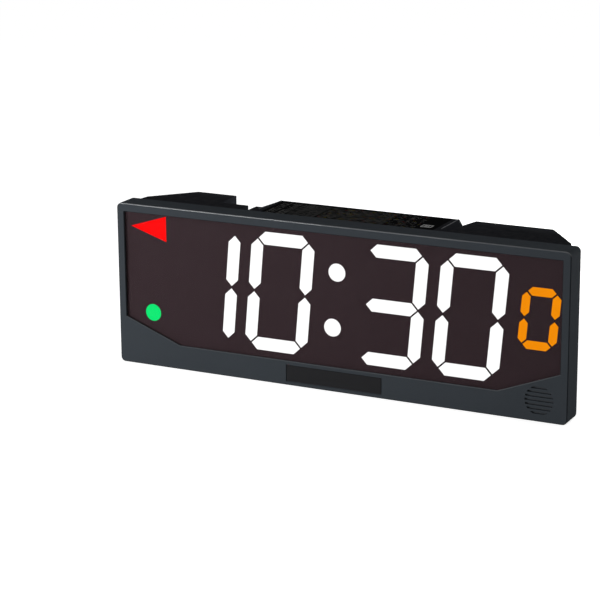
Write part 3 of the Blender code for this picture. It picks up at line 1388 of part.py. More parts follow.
def make_ribbons():
    """Flat cables from the light boards to the control board, in an easy S."""
    near, far = BOARD_FAR + FIT, board_far() - BOARD_THICK - FIT
    (_, _), (low, _) = control_board_span()
    high = low + RIBBON_WIDTH
    steps = 12
    for side, name in ((-1, "ribbon_cable_left"), (1, "ribbon_cable_right")):
        middle = []
        for i in range(steps + 1):
            share = i / steps
            climb = share ** 2 * (3 - 2 * share)
            middle.append((near + (far - near) * share, RIBBON_LOW + (high - RIBBON_LOW) * climb))
        half = RIBBON_THICK / 2
        outline = [(depth, height - half) for depth, height in middle]
        outline += [(depth, height + half) for depth, height in reversed(middle)]
        x0 = side * RIBBON_X - RIBBON_WIDTH / 2
        ribbon = side_profile("ribbon", [outline], x0, x0 + RIBBON_WIDTH)
        finish(ribbon, name, (0.45, 0.45, 0.47), 0.5)


def tube(name, points, radius=WIRE_RADIUS, colour=(0.35, 0.02, 0.02)):
    """A round wire with a smooth run through points given as x, depth and height."""
    curve = bpy.data.curves.new(name, "CURVE")
    curve.dimensions = "3D"
    curve.bevel_depth = radius
    curve.bevel_resolution = 2
    curve.resolution_u = 4
    curve.use_fill_caps = True
    spline = curve.splines.new("BEZIER")
    spline.bezier_points.add(len(points) - 1)
    for knot, point in zip(spline.bezier_points, points):
        knot.co = at(*point)
        knot.handle_left_type = "AUTO"
        knot.handle_right_type = "AUTO"
    drawn = bpy.data.objects.new(name, curve)
    bpy.data.collections[CUTTERS].objects.link(drawn)
    bpy.context.view_layer.update()
    mesh = bpy.data.meshes.new_from_object(drawn.evaluated_get(bpy.context.evaluated_depsgraph_get()))
    shape = bmesh.new()
    shape.from_mesh(mesh)
    bmesh.ops.remove_doubles(shape, verts=shape.verts, dist=1e-6)
    bmesh.ops.recalc_face_normals(shape, faces=shape.faces)
    shape.to_mesh(mesh)
    shape.free()
    bpy.data.objects.remove(drawn, do_unlink=True)
    bpy.data.curves.remove(curve)
    return finish(link(name, mesh), name, colour, 0.5, smooth=True)


def make_wires():
    """Wires from each cradle to the control board, and from the speaker to its light board."""
    clear = FIT + WIRE_RADIUS
    cradle_top = CELL_LENGTH + CRADLE_WALL + 2 * FIT + WIRE_RADIUS
    board_near = board_far() - BOARD_THICK
    way_high = CELL_LENGTH * 1.35
    below_slot = TRAY_TOP - SLOT_DROP - REAR_WALL - 8 * WIRE_RADIUS
    run_depth = (BEZEL_DEPTH + TRAY_FAR) / 2
    end_high = control_board_span()[1][0] + CHIP_SIDE / 3
    for side, name in ((-1, "left"), (1, "right")):
        inner = LEFT_BOX_INNER if side < 0 else RIGHT_BOX_INNER_FAR
        slot = sum(slot_spans()[0 if side < 0 else 1]) / 2
        start_x = cell_columns(side)[0]
        way_x = inner + side * 3 * CELL_RADIUS
        end_x = side * CHIP_SIDE
        tube(f"battery_wire_{name}", [
            (start_x, BOX_NEAR + CRADLE_REACH / 2, cradle_top),
            (way_x, BOX_NEAR + clear + REAR_WALL, way_high),
            (way_x, TRAY_FAR - 2 * REAR_WALL - clear, way_high),
            (slot + side * 3 * clear, run_depth, below_slot),
            (slot - side * 3 * clear, run_depth, below_slot),
            (end_x, run_depth, way_high / 2),
            (end_x, BOX_NEAR + clear, end_high),
            (end_x, board_near - WIRE_RADIUS, end_high),
        ])
    centre = speaker_centre()
    back = GRILLE_DEPTH + GASKET_THICK + SPEAKER_DEPTH
    tube("speaker_wire", [
        (centre.x, back - WIRE_RADIUS, centre.y + MAGNET_RADIUS + FIT),
        (centre.x, back, centre.y + SPEAKER_WIRE_RISE * 0.7),
        (centre.x, BOARD_FAR + WIRE_RADIUS, centre.y + SPEAKER_WIRE_RISE),
    ])


def make_feet():
    """Two rubber feet under the rear boxes; the bezel's lower wall is the front rest."""
    depth = OVERALL_DEPTH - FOOT_INSET
    places = (LEFT_BOX_INNER - 2 * FOOT_INSET, "left"), (RIGHT_BOX_INNER_FAR + 3 * FOOT_INSET, "right")
    for x, side in places:
        foot = rod("foot", at(x, depth, -HALF_HEIGHT), at(x, depth, -TRAY_TOP - FIT), FOOT_RADIUS, 20)
        finish(foot, f"rear_foot_{side}", (0.02, 0.02, 0.02), 0.9, smooth=True)


def build_all():
    """Make every part of the timer."""
    start()
    make_bezel()
    make_nameplate()
    make_lens()
    make_mask()
    make_reflector()
    make_diffusers()
    make_light_boards()
    make_receiver()
    make_speaker()
    make_rear_cover()
    make_case_screws()
    for side, name in ((-1, "left"), (1, "right")):
        make_box(side, f"{name}_box")
        make_door(side, f"{name}_door")
        make_cells(side, name)
    make_pod()
    make_top_panel()
    make_control_board()
    make_keys()
    make_rocker()
    make_knob()
    make_inlet()
    make_ribbons()
    make_wires()
    make_feet()


build_all()
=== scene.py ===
"""Looks of the large digital timer: finishes, lit digits, prints and trim around its solids.

Metres, +Z up. The display faces -Y. Places are given as in the part's source: x, depth
behind the front face, and height above the middle of the face.
"""

import math

import bmesh
import bpy
from mathutils import Matrix, Quaternion, Vector


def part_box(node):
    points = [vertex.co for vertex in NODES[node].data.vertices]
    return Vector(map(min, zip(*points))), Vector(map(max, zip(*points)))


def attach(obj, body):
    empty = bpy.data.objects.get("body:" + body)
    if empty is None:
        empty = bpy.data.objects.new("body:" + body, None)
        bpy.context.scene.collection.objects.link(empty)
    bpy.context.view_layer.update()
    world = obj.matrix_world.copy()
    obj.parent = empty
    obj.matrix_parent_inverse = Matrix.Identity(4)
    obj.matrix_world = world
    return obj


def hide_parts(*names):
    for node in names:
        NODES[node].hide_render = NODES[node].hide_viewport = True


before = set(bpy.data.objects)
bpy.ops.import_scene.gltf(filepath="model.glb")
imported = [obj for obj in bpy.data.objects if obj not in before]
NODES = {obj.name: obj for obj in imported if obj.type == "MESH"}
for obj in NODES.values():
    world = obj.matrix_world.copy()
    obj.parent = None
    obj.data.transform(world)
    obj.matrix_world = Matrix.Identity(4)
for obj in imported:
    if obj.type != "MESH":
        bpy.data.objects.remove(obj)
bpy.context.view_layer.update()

SIDES = ("left", "right")

# Case, mask and diffuser sheets, as in the part's source
HALF_HEIGHT = 0.1185
DEPTH = 0.123
MASK_NEAR = 0.0051
SHEET_NEAR = 0.0069
SHEET_FAR = 0.0079

# Digits: x and height of the middle, width, height and stroke
DIGIT_X = (-0.2011, -0.0855, 0.0855, 0.2011)
BIG_DIGIT = (0.0124, 0.098, 0.1724, 0.0185)
SMALL_DIGIT = (0.2995, 0.0220, 0.0548, 0.086, 0.0119)
SLANT = 0.088
BAR_GAP = 0.0024
BAR_CROWN = 0.0002
BAR_INSET = 0.00025
BAR_ROOT = 0.0002
DARK_BAR_SUNK = 0.00005
OPENING_GAP = 0.0012
OPENING_FIT = 0.0003
SHEET_MARGIN = 0.0015
LIT_BARS = {
    "minute_tens": "bc", "minute_ones": "abcdef", "second_tens": "abcdg", "second_ones": "abcdef",
}

# Nameplate, receiver's cover and speaker grille
PLATE_INSET = 0.0007
PLATE_FRONT = 0.0003
PLATE_BACK = 0.0012
PLATE_EASE = 0.00018
COVER_RADIUS = 0.0042
COVER_THICK = 0.00015
SPEAKER_RIM = 0.0014
SLOT_COUNT = 7
SLOT_OPEN = 0.0028
FELT_NEAR = 0.0032
FELT_THICK = 0.001
FELT_FIT = 0.00012

# Label on the top: pitch of its rows and marks, and its columns (from x, to x, how strong)
LABEL_ROW = 0.0021
LABEL_MARK = 0.0013
LABEL_DEPTH = (-0.0135, 0.0535)
LABEL_COLUMNS = (
    (-0.131, -0.118, 1.0), (-0.114, -0.100, 1.0), (-0.098, -0.055, 0.8), (-0.052, 0.050, 0.75),
)
SPARSE_COLUMN = (0.052, 0.098)
COLOURED_COLUMNS = (-0.052, 0.098)

# Patch on the label, and lips beside it in light plastic that paint the highlight along the top's
# edges
PATCH_TOP = 0.11532
PATCH_BOX = ((0.1030, 0.1190), (0.0600, 0.0740))
STRIPE_X = ((0.1050, 0.1072), (0.1089, 0.1097), (0.1114, 0.1129), (0.1146, 0.1170))
STRIPE_DEPTH = (0.0625, 0.0715)
STRIPE_RISE = 0.00005
LIP_LINES = ((-0.1458, -0.1407), (0.1347, 0.1347))
LIP_NEAR = 0.061
LIP_FAR = 0.1215
LIP_HALF = 0.0007
LIP_FOOT = 0.1151
LIP_RISE = 0.0005

# How far thin pieces are rooted in what carries them, how far prints stand out, and their ease
ROOT = 0.0001
PRINT_RISE = 0.00012
FINE_EASE = 0.00002

# Control pocket
POCKET_FLOOR = DEPTH - 0.0035
POCKET_X = (-0.126, 0.121)
POCKET_HALF = 0.0155
POCKET_CORNER = 0.004
KEYS_LEFT = -0.112
KEY_PITCH = 0.021
KEY_HEIGHT = 0.075
SIGN_HEIGHT = 0.0858
SIGN_HALF = 0.0026
ROCKER_MARK_X = 0.0455
KNOB_X = 0.068
KNOB_START = math.radians(140)
KNOB_GROOVE = 0.0005
TICK_COUNT = 11
TICK_FIRST = -50
TICK_STEP = 28
TICK_RADIUS = 0.0100
INLET_X = 0.105
INLET_SIGN_GAP = 0.0062

# Recesses and screws in the back
CUT_PAST = 0.001
WELL_RADIUS = 0.0038
WELL_EASE = 0.0006
WELL_FLOOR = DEPTH - 0.0032
HEAD_RISE = 0.0018

# Pod
POD_VENTS = ((-0.128, -0.076), (0.076, 0.128))
POD_VENT_LOW = -0.020
POD_VENT_PITCH = 0.006
POD_VENT_HALF = 0.0012
POD_VENT_SLOTS = 9
POD_VENT_FLOOR = DEPTH - 0.008
POD_SCREWS = ((-0.133, -0.0275), (0.132, -0.0275), (-0.133, 0.0485), (0.132, 0.0485))
BRACKET_FACE = ((-0.045, 0.045), (-0.021, 0.045))
BRACKET_LINE = 0.0009

# Battery boxes, doors and contacts
BOX_SCREWS = {
    "left": ((-0.2685, -0.104), (-0.2235, -0.104), (-0.2685, 0.104), (-0.2235, 0.104)),
    "right": ((0.1695, -0.104), (0.2645, -0.104), (0.1695, 0.104), (0.2645, 0.104)),
}
DOOR_BORDER = 0.0042
DOOR_FIELD_HALF = 0.0690
DOOR_FIELD_FLOOR = DEPTH - 0.0012
DOOR_INSIDE = DEPTH - 0.0025
GRIP_RIB_PITCH = 0.0048
CELL_MARK_STEP = {"left": 0.009, "right": 0.016}
CELL_MARK_HEIGHT = 0.044
CELL_PADS = {"left": (-0.2540, -0.2400), "right": (0.1925, 0.2220)}
CELL_PAD_HEIGHT = 0.0375
CRADLE_WALL = 0.0017
CONTACT_THIN = 0.00016
CONTACT_CLEAR = 0.0001
CONTACT_HALF = 0.0045

# Tray below the pod
TRAY_FAR = 0.075
TRAY_SLITS = (-0.176, 0.082)
TRAY_SLIT_PITCH = 0.0055
TRAY_SLIT_COUNT = 9
TRAY_SLIT_HEIGHT = (-0.096, -0.058)
TRAY_RIBS = (-0.0475, -0.1065)
TRAY_SCREWS = ((-0.194, -0.0475), (0.140, -0.0475), (-0.194, -0.1065), (0.140, -0.1065))
RATING_PLATE = ((-0.046, 0.044), (-0.097, -0.057))
RATING_LINES = (-0.067, -0.077, -0.087)

# Studio
FLOOR_REACH = 30.0
FLOOR_GLOW = 0.78
SKY_LIGHT = 0.265
LENS_LENGTH = 131.557
CAMERA_PLACE = (1.265303, -2.679377, 0.941675)
CAMERA_TURN = (0.775362, 0.588160, 0.141642, 0.181158)

EFFECTS = {}
LOOKS = {}


def at(x, depth, height):
    """World place of a point of the timer."""
    return Vector((x, depth - DEPTH / 2, height + HALF_HEIGHT))


class Net:
    """A node tree that takes nodes and their settings in one call each."""

    def __init__(self, tree):
        self.tree = tree

    def add(self, kind, settings=None, **inputs):
        """A new node. An input goes by its name, or by an i and its number."""
        node = self.tree.nodes.new("ShaderNode" + kind)
        for key, value in (settings or {}).items():
            setattr(node, key, value)
        for name, value in inputs.items():
            numbered = name[0] == "i" and name[1:].isdigit()
            self.put(value, node.inputs[int(name[1:]) if numbered else name.replace("_", " ")])
        return node

    def put(self, value, socket):
        """Link an output to a socket, or set the socket's own value."""
        if isinstance(value, bpy.types.NodeSocket):
            self.tree.links.new(value, socket)
        elif socket.type == "RGBA" and len(value) == 3:
            socket.default_value = (*value, 1.0)
        else:
            socket.default_value = value

    def math(self, operation, a, b=0.0, c=None, clamp=False):
        third = {} if c is None else {"i2": c}
        settings = {"operation": operation, "use_clamp": clamp}
        return self.add("Math", settings, i0=a, i1=b, **third).outputs[0]

    def times(self, first, *others):
        """The product of two or more values."""
        for other in others:
            first = self.math("MULTIPLY", first, other)
        return first

    def vector(self, operation, a, b=(0.0, 0.0, 0.0)):
        return self.add("VectorMath", {"operation": operation}, i0=a, i1=b).outputs[0]

    def axes(self, vector):
        return self.add("SeparateXYZ", i0=vector).outputs

    def ramp(self, value, low, high, to_low=0.0, to_high=1.0):
        """A value from between low and high, carried to between two others."""
        ends = {"i1": low, "i2": high, "i3": to_low, "i4": to_high}
        return self.add("MapRange", {"clamp": True}, i0=value, **ends).outputs[0]

    def mix(self, share, a, b, blend="MIX"):
        settings = {"data_type": "RGBA", "blend_type": blend}
        return self.add("Mix", settings, i0=share, i6=a, i7=b).outputs[2]

    def dimmed(self, colour, factor):
        """A colour times a number."""
        grey = self.add("CombineColor", i0=factor, i1=factor, i2=factor).outputs[0]
        return self.mix(1.0, colour, grey, "MULTIPLY")

    def noise(self, vector, scale, detail=2.0, rough=0.5, **more):
        values = {"Scale": scale, "Detail": detail, "Roughness": rough, **more}
        return self.add("TexNoise", Vector=vector, **values).outputs[0]

    def place(self):
        """Where a point lies on the timer."""
        return self.add("TexCoord").outputs["Object"]

    def facing(self):
        """Which way the surface looks there."""
        return self.add("NewGeometry").outputs["Normal"]


def effect(outputs, **inputs):
    """Make a shared effect: a shader node group that the function below fills.

    It gets the net and the group's inputs, and returns the group's outputs in order. An input of
    three numbers is a colour.
    """
    kinds = {True: "NodeSocketColor", False: "NodeSocketFloat"}

    def build(fill):
        EFFECTS[fill.__name__] = tree = bpy.data.node_groups.new(fill.__name__, "ShaderNodeTree")
        for label, value in inputs.items():
            colour = isinstance(value, tuple)
            socket = tree.interface.new_socket(label, in_out="INPUT", socket_type=kinds[colour])
            socket.default_value = (*value, 1.0) if colour else value
        for label in outputs:
            kind = kinds[label == "Colour"]
            tree.interface.new_socket(label, in_out="OUTPUT", socket_type=kind)
        start, end = (tree.nodes.new("NodeGroup" + way) for way in ("Input", "Output"))
        net = Net(tree)
        for label, value in zip(outputs, fill(net, start.outputs)):
            net.put(value, end.inputs[label])
        return fill
    return build


@effect(["Height", "Roughness"], Fineness=1500.0, Roughness=0.6, Spread=0.12)
def moulded_grain(net, given):
    """Fine spark-eroded grain of a moulded surface: height, and roughness that drifts."""
    place = net.place()
    fine = net.noise(place, given["Fineness"], 2.0, 0.6)
    coarse = net.noise(place, net.times(given["Fineness"], 0.27), 1.0)
    drift = net.noise(place, 9.0, 3.0, 0.55)
    swing = net.times(net.math("SUBTRACT", drift, 0.5), given["Spread"])
    return (net.math("MULTIPLY_ADD", coarse, 0.8, net.times(fine, 0.6)),
            net.math("ADD", given["Roughness"], swing, clamp=True))


@effect(["Colour"], Colour=(0.5, 0.5, 0.5), Amount=0.12, Size=7.0)
def tone_drift(net, given):
    """Slow change of tone over a surface, and a faint mottling at the scale of the grain."""
    place = net.place()
    slow = net.noise(place, given["Size"], 3.0, 0.6)
    quick = net.noise(place, net.times(given["Size"], 60.0), 1.0)
    both = net.math("MULTIPLY_ADD", quick, 0.35, net.times(slow, 0.65))
    swing = net.times(net.math("SUBTRACT", both, 0.5), net.times(given["Amount"], 2.0))
    return [net.dimmed(given["Colour"], net.math("ADD", swing, 1.0))]


@effect(["Mask"], Width=0.0012, Amount=0.5, Break=60.0)
def edge_wear_and_sheen(net, given):
    """Where a moulding's edges are worn by hands and cloths, and carry a painted sheen: a broken
    line along them.
    """
    rounded = net.add("Bevel", {"samples": 4}, Radius=given["Width"]).outputs[0]
    same = net.add("VectorMath", {"operation": "DOT_PRODUCT"}, i0=rounded, i1=net.facing())
    turned = net.ramp(net.math("SUBTRACT", 1.0, same.outputs["Value"]), 0.01, 0.16)
    patches = net.ramp(net.noise(net.place(), given["Break"], 3.0, 0.6), 0.35, 0.62, 0.35, 1.0)
    return [net.math("MULTIPLY", net.times(turned, patches), given["Amount"], clamp=True)]


@effect(["Upper", "PaintedShade"], Break=55.0)
def eased_edges(net, given):
    """The rounded front edges of a moulding: those that face up, polished, and the others, which
    get a painted shade.
    """
    normal = net.facing()
    sides = net.axes(net.vector("ABSOLUTE", normal))
    squarest = net.math("MAXIMUM", net.math("MAXIMUM", sides["X"], sides["Y"]), sides["Z"])
    towards = net.axes(normal)
    edge = net.times(net.ramp(squarest, 0.985, 0.975), net.ramp(towards["Y"], -0.15, -0.22))
    upper = net.ramp(towards["Z"], 0.12, 0.22)
    patches = net.ramp(net.noise(net.place(), given["Break"], 3.0, 0.6), 0.3, 0.6, 0.75, 1.0)
    # PaintedShade: the front edges that don't face up, which the frame darkens as painted shade
    return net.times(edge, upper, patches), net.times(edge, net.math("SUBTRACT", 1.0, upper))


@effect(["Mask"], Amount=0.1, Clumps=90.0)
def settled_dust(net, given):
    """Thin dust on surfaces that face up."""
    up = net.ramp(net.axes(net.facing())["Z"], 0.55, 0.98)
    cloud = net.ramp(net.noise(net.place(), given["Clumps"], 4.0, 0.65), 0.38, 0.75)
    return [net.math("MULTIPLY", net.times(up, cloud), given["Amount"], clamp=True)]


@effect(["Roughness"], Roughness=0.1, Amount=0.1)
def finger_smears(net, given):
    """Faint smears on a glossy surface, as an added roughness."""
    place = net.vector("MULTIPLY", net.place(), (1.0, 1.0, 0.45))
    swirl = net.noise(place, 11.0, 5.0, 0.62, Distortion=1.3)
    smear = net.times(net.ramp(swirl, 0.42, 0.7), given["Amount"])
    return [net.math("ADD", given["Roughness"], smear, clamp=True)]


class Finish(Net):
    """A new material with its Principled shader, whose constant values are set here."""

    def __init__(self, name, **fixed):
        LOOKS[name] = material = bpy.data.materials.new(name)
        material.use_nodes = True
        super().__init__(material.node_tree)
        self.shader = self.tree.nodes["Principled BSDF"]
        self.feed(**fixed)

    def feed(self, **values):
        """Set or link inputs of the shader."""
        for name, value in values.items():
            self.put(value, self.shader.inputs[name.replace("_", " ")])

    def placed(self, name, **inputs):
        """The outputs of a shared effect, placed here with its own values."""
        return self.add("Group", {"node_tree": EFFECTS[name]}, **inputs).outputs

    def toned(self, colour, amount, **more):
        """A colour that drifts over the surface."""
        return self.placed("tone_drift", Colour=colour, Amount=amount, **more)["Colour"]

    def smeared(self, rough, amount):
        """A roughness with finger smears."""
        return self.placed("finger_smears", Roughness=rough, Amount=amount)["Roughness"]

    def bumped(self, height, strength, distance):
        """Give the shader a bump from a height."""
        bump = self.add("Bump", Height=height, Strength=strength, Distance=distance)
        self.feed(Normal=bump.outputs[0])

    def grained(self, strength, distance, **values):
        """Give the shader the moulded grain: its roughness and its bump."""
        grain = self.placed("moulded_grain", **values)
        self.feed(Roughness=grain["Roughness"])
        self.bumped(grain["Height"], strength, distance)

    def dusted(self, colour, amount):
        """A colour with a little dust on what faces up."""
        powder = self.placed("settled_dust", Amount=amount)["Mask"]
        return self.mix(powder, colour, (0.30, 0.29, 0.27))


def moulded(name, colour, rough=0.62, shine=0.2, fineness=1500.0, bump=0.12, drift=0.10,
            rub=0.35, rub_tone=1.5, dust=0.0, edge=0.0012):
    """A moulded plastic: grained, its tone drifting, its edges worn and, where they get lighter,
    given a painted sheen; some with dust.
    """
    made = Finish(name, Specular_IOR_Level=shine)
    edges = made.placed("edge_wear_and_sheen", Width=edge, Amount=rub)["Mask"]
    # Wear and painted sheen: edges mixed towards the colour times rub_tone, lighter where rub_tone
    # is above 1
    worn_sheen_tone = tuple(min(1.0, channel * rub_tone + 0.004) for channel in colour)
    made.feed(Base_Color=made.dusted(made.mix(edges, made.toned(colour, drift), worn_sheen_tone), dust))
    made.grained(bump, 0.0002, Fineness=fineness, Roughness=rough, Spread=0.14)


def frame_plastic():
    """The front frame: grained flats, side and lower edges darkened as painted shade, and an upper
    edge polished by hands.
    """
    made = Finish("case_plastic", Specular_IOR_Level=0.01, Coat_Roughness=0.08)
    colour = (0.045, 0.052, 0.060)
    edges = made.placed("eased_edges")
    # Painted shade: edges that don't face up are darkened to 45 % of the frame's colour, standing
    # in for the shade the lamps leave on them
    edge_shaded = made.mix(edges["PaintedShade"], made.toned(colour, 0.10), tuple(0.45 * c for c in colour))
    made.feed(Base_Color=made.dusted(edge_shaded, 0.02), Coat_Weight=edges["Upper"])
    made.grained(0.12, 0.0002, Fineness=1500.0, Roughness=0.9, Spread=0.14)


def glow(name, colour, strength, unlit):
    """A lit diffuser: bright, with a faint cloudiness of its moulded skin."""
    made = Finish(name, Emission_Strength=strength, Specular_IOR_Level=0.0)
    clouds = made.ramp(made.noise(made.place(), 130.0), 0.3, 0.7, 0.94, 1.0)
    made.feed(Emission_Color=made.dimmed(colour, clouds), Base_Color=made.toned(unlit, 0.05),
              Roughness=made.placed("moulded_grain", Fineness=900.0, Roughness=0.5)["Roughness"])


def smoked_lens():
    """Smoked acrylic window: see-through, with faint smears in its gloss."""
    made = Finish("smoked_lens", Alpha=0.2, Specular_IOR_Level=0.03)
    made.feed(Base_Color=made.toned((0.02, 0.012, 0.013), 0.06), Roughness=made.smeared(0.34, 0.2))


def metal(name, colour, rough):
    """Bare or plated metal with fine lines."""
    made = Finish(name, Metallic=1.0)
    lines = made.noise(made.place(), 420.0, 3.0, 0.6)
    made.feed(Base_Color=made.toned(colour, 0.10, Size=40.0),
              Roughness=made.ramp(lines, 0.3, 0.7, rough * 0.75, rough * 1.3))
    made.bumped(lines, 0.08, 0.0001)


def rubber(name, colour, rough=0.85):
    """Soft rubber, felt or foam with a coarse skin."""
    made = Finish(name, Specular_IOR_Level=0.2)
    made.feed(Base_Color=made.toned(colour, 0.2, Size=30.0))
    made.grained(0.3, 0.0003, Fineness=900.0, Roughness=rough, Spread=0.1)


def circuit_board():
    """Green lacquered board with copper tracks under the lacquer."""
    made = Finish("board_lacquer", Specular_IOR_Level=0.5, Coat_Weight=0.3)
    upright = made.add("Mapping", Rotation=(math.radians(90), 0.0, 0.0), Vector=made.place())
    tracks = made.add("TexBrick", {"offset": 0.37, "squash": 1.6}, Vector=upright.outputs[0],
                      Scale=90.0, Mortar_Size=0.035, Mortar_Smooth=0.2, Brick_Width=0.62,
                      Row_Height=0.23).outputs["Fac"]
    base = made.mix(tracks, (0.012, 0.085, 0.035), (0.035, 0.17, 0.06))
    made.feed(Base_Color=made.toned(base, 0.08),
              Roughness=made.placed("moulded_grain", Fineness=700.0, Roughness=0.4)["Roughness"])
    made.bumped(tracks, 0.25, 0.0001)


def striped_cable():
    """Grey flat cable with the ribs of its wires."""
    made = Finish("ribbon_cable", Specular_IOR_Level=0.4)
    turns = made.times(made.axes(made.place())["X"], 2 * math.pi / 0.00127)
    ribs = made.math("SINE", turns)
    grey = made.mix(made.ramp(ribs, -1.0, 0.2), (0.2, 0.2, 0.21), (0.46, 0.46, 0.47))
    made.feed(Base_Color=grey, Roughness=made.placed("moulded_grain", Roughness=0.45)["Roughness"])
    made.bumped(ribs, 0.5, 0.0003)


def cell_wrap():
    """Printed sleeve of a battery cell: dark body, a warm band on top, bare metal ends."""
    made = Finish("cell_wrap", Specular_IOR_Level=0.5)
    along = made.axes(made.add("TexCoord").outputs["Generated"])["Z"]
    top, foot = made.ramp(along, 0.965, 0.97), made.ramp(along, 0.02, 0.015)
    ends = made.math("ADD", top, foot, clamp=True)
    sleeve = made.mix(made.ramp(along, 0.70, 0.705), (0.02, 0.02, 0.022), (0.55, 0.25, 0.06))
    made.feed(Base_Color=made.mix(ends, made.toned(sleeve, 0.08), (0.62, 0.61, 0.58)),
              Metallic=ends, Roughness=made.smeared(0.28, 0.15))


def label_film():
    """Black film on the top: columns of fine plain grey marks, a few of them yellow or red."""
    made = Finish("label_film", Specular_IOR_Level=0.0)
    place = made.axes(made.place())
    x, y = place["X"], place["Y"]

    def over(value, limit):
        """1 above a limit."""
        return made.math("GREATER_THAN", value, limit)

    def within(value, ends):
        """1 between two values."""
        low, high = ends
        return made.times(over(value, low), made.math("LESS_THAN", value, high))

    def ruled(value, pitch, share):
        """1 on the lines of a ruled sheet."""
        return made.math("LESS_THAN", made.math("FRACT", made.math("DIVIDE", value, pitch)), share)

    def chance(pitch):
        """A random number and colour for each stretch of a row."""
        column, row = (made.math("FLOOR", made.math("DIVIDE", value, step))
                       for value, step in ((x, pitch), (y, LABEL_ROW)))
        seed = made.add("CombineXYZ", i0=column, i1=row).outputs[0]
        return made.add("TexWhiteNoise", {"noise_dimensions": "2D"}, Vector=seed).outputs

    groups, marks = chance(3.5 * LABEL_MARK), chance(LABEL_MARK)
    ink = made.times(ruled(y, LABEL_ROW, 0.5), ruled(x, LABEL_MARK, 0.7), over(groups[0], 0.22),
                     over(marks[0], 0.2), within(y, LABEL_DEPTH))
    level = made.times(within(x, SPARSE_COLUMN), over(groups[0], 0.7))
    for low, high, strength in LABEL_COLUMNS:
        level = made.math("MULTIPLY_ADD", within(x, (low, high)), strength, level)
    pick = made.add("SeparateColor", i0=groups[1]).outputs[1]
    coloured, colour = within(x, COLOURED_COLUMNS), (0.17, 0.17, 0.165)
    for limit, other in ((0.86, (0.26, 0.22, 0.02)), (0.95, (0.26, 0.04, 0.03))):
        colour = made.mix(made.times(over(pick, limit), coloured), colour, other)
    share = made.math("MULTIPLY", ink, level, clamp=True)
    made.feed(Base_Color=made.mix(share, made.toned((0.0075, 0.0075, 0.008), 0.1), colour),
              Roughness=made.smeared(0.8, 0.1))


SCREEN = (0.068, 0.042, 0.050)
BLANK = {"shine": 0.1, "rub": 0.0}

frame_plastic()
# The rear pieces' plastic, darker than the frame's: partly its own colour, partly painted shade for
# the little light on the rear tops
moulded("rear_plastic", (0.022, 0.023, 0.027), rough=0.9, shine=0.0, rub_tone=1.2, dust=0.05)
# A light grey that paints the highlight along the top's edges beside the label
moulded("lip_painted_highlight", (0.11, 0.112, 0.12), rough=0.8, shine=0.05, dust=0.05)
moulded("door_plastic", (0.027, 0.028, 0.031), rough=0.7, shine=0.12, rub_tone=1.8, dust=0.05)
moulded("key_plastic", (0.10, 0.105, 0.11), rough=0.55, fineness=2200.0)
moulded("start_plastic", (0.03, 0.23, 0.08), rough=0.55, shine=0.3, fineness=2200.0)
moulded("reset_plastic", (0.42, 0.03, 0.025), rough=0.55, shine=0.3, fineness=2200.0)
moulded("knob_plastic", (0.035, 0.035, 0.038), rough=0.5, shine=0.3, fineness=2200.0)
moulded("rocker_plastic", (0.018, 0.0185, 0.0205), rough=0.5, shine=0.15, fineness=2600.0,
        bump=0.05)
moulded("inner_plastic", (0.03, 0.03, 0.032), rough=0.6, rub=0.1)
moulded("well_plastic", (0.7, 0.7, 0.7), rough=0.6, rub=0.0)
moulded("mask_film", SCREEN, rough=0.75, fineness=2600.0, bump=0.0, drift=0.02, **BLANK)
moulded("unlit_bar", SCREEN, rough=0.7, fineness=2600.0, bump=0.0, drift=0.02, **BLANK)
moulded("receiver_resin", SCREEN, rough=0.75, bump=0.0, **BLANK)
moulded("patch_foil", (0.34, 0.34, 0.335), rough=0.6, bump=0.03, drift=0.25, **BLANK)
moulded("plate_film", (0.016, 0.016, 0.0175), rough=0.6, shine=0.05, fineness=1900.0, bump=0.05,
        drift=0.08, rub=0.2, edge=0.0006)
moulded("rating_film", (0.13, 0.133, 0.138), rough=0.55, shine=0.1, fineness=1900.0, bump=0.03,
        drift=0.12, rub=0.2, edge=0.0006)
moulded("print_ink", (0.42, 0.43, 0.44), rough=0.75, shine=0.1, bump=0.04, drift=0.18, rub=0.5,
        rub_tone=0.5, edge=0.0003)
smoked_lens()
glow("white_glow", (1.0, 1.0, 1.0), 1.45, (0.6, 0.6, 0.6))
glow("orange_glow", (1.0, 0.30, 0.0), 1.28, (0.3, 0.09, 0.0))
glow("red_glow", (1.0, 0.0, 0.0), 1.4, (0.3, 0.0, 0.0))
glow("green_glow", (0.0, 0.88, 0.19), 1.27, (0.0, 0.3, 0.06))
circuit_board()
striped_cable()
label_film()
cell_wrap()
metal("screw_steel", (0.11, 0.11, 0.115), 0.4)
metal("can_steel", (0.55, 0.55, 0.56), 0.4)
metal("pot_steel", (0.6, 0.58, 0.52), 0.35)
metal("contact_spring", (0.66, 0.62, 0.52), 0.3)
rubber("foot_rubber", (0.02, 0.02, 0.021))
rubber("gasket_foam", (0.10, 0.10, 0.103), 0.95)
rubber("cone_paper", (0.12, 0.12, 0.125), 0.9)
rubber("grille_felt", (0.05, 0.055, 0.062), 0.95)
rubber("red_wire", (0.35, 0.015, 0.012), 0.5)

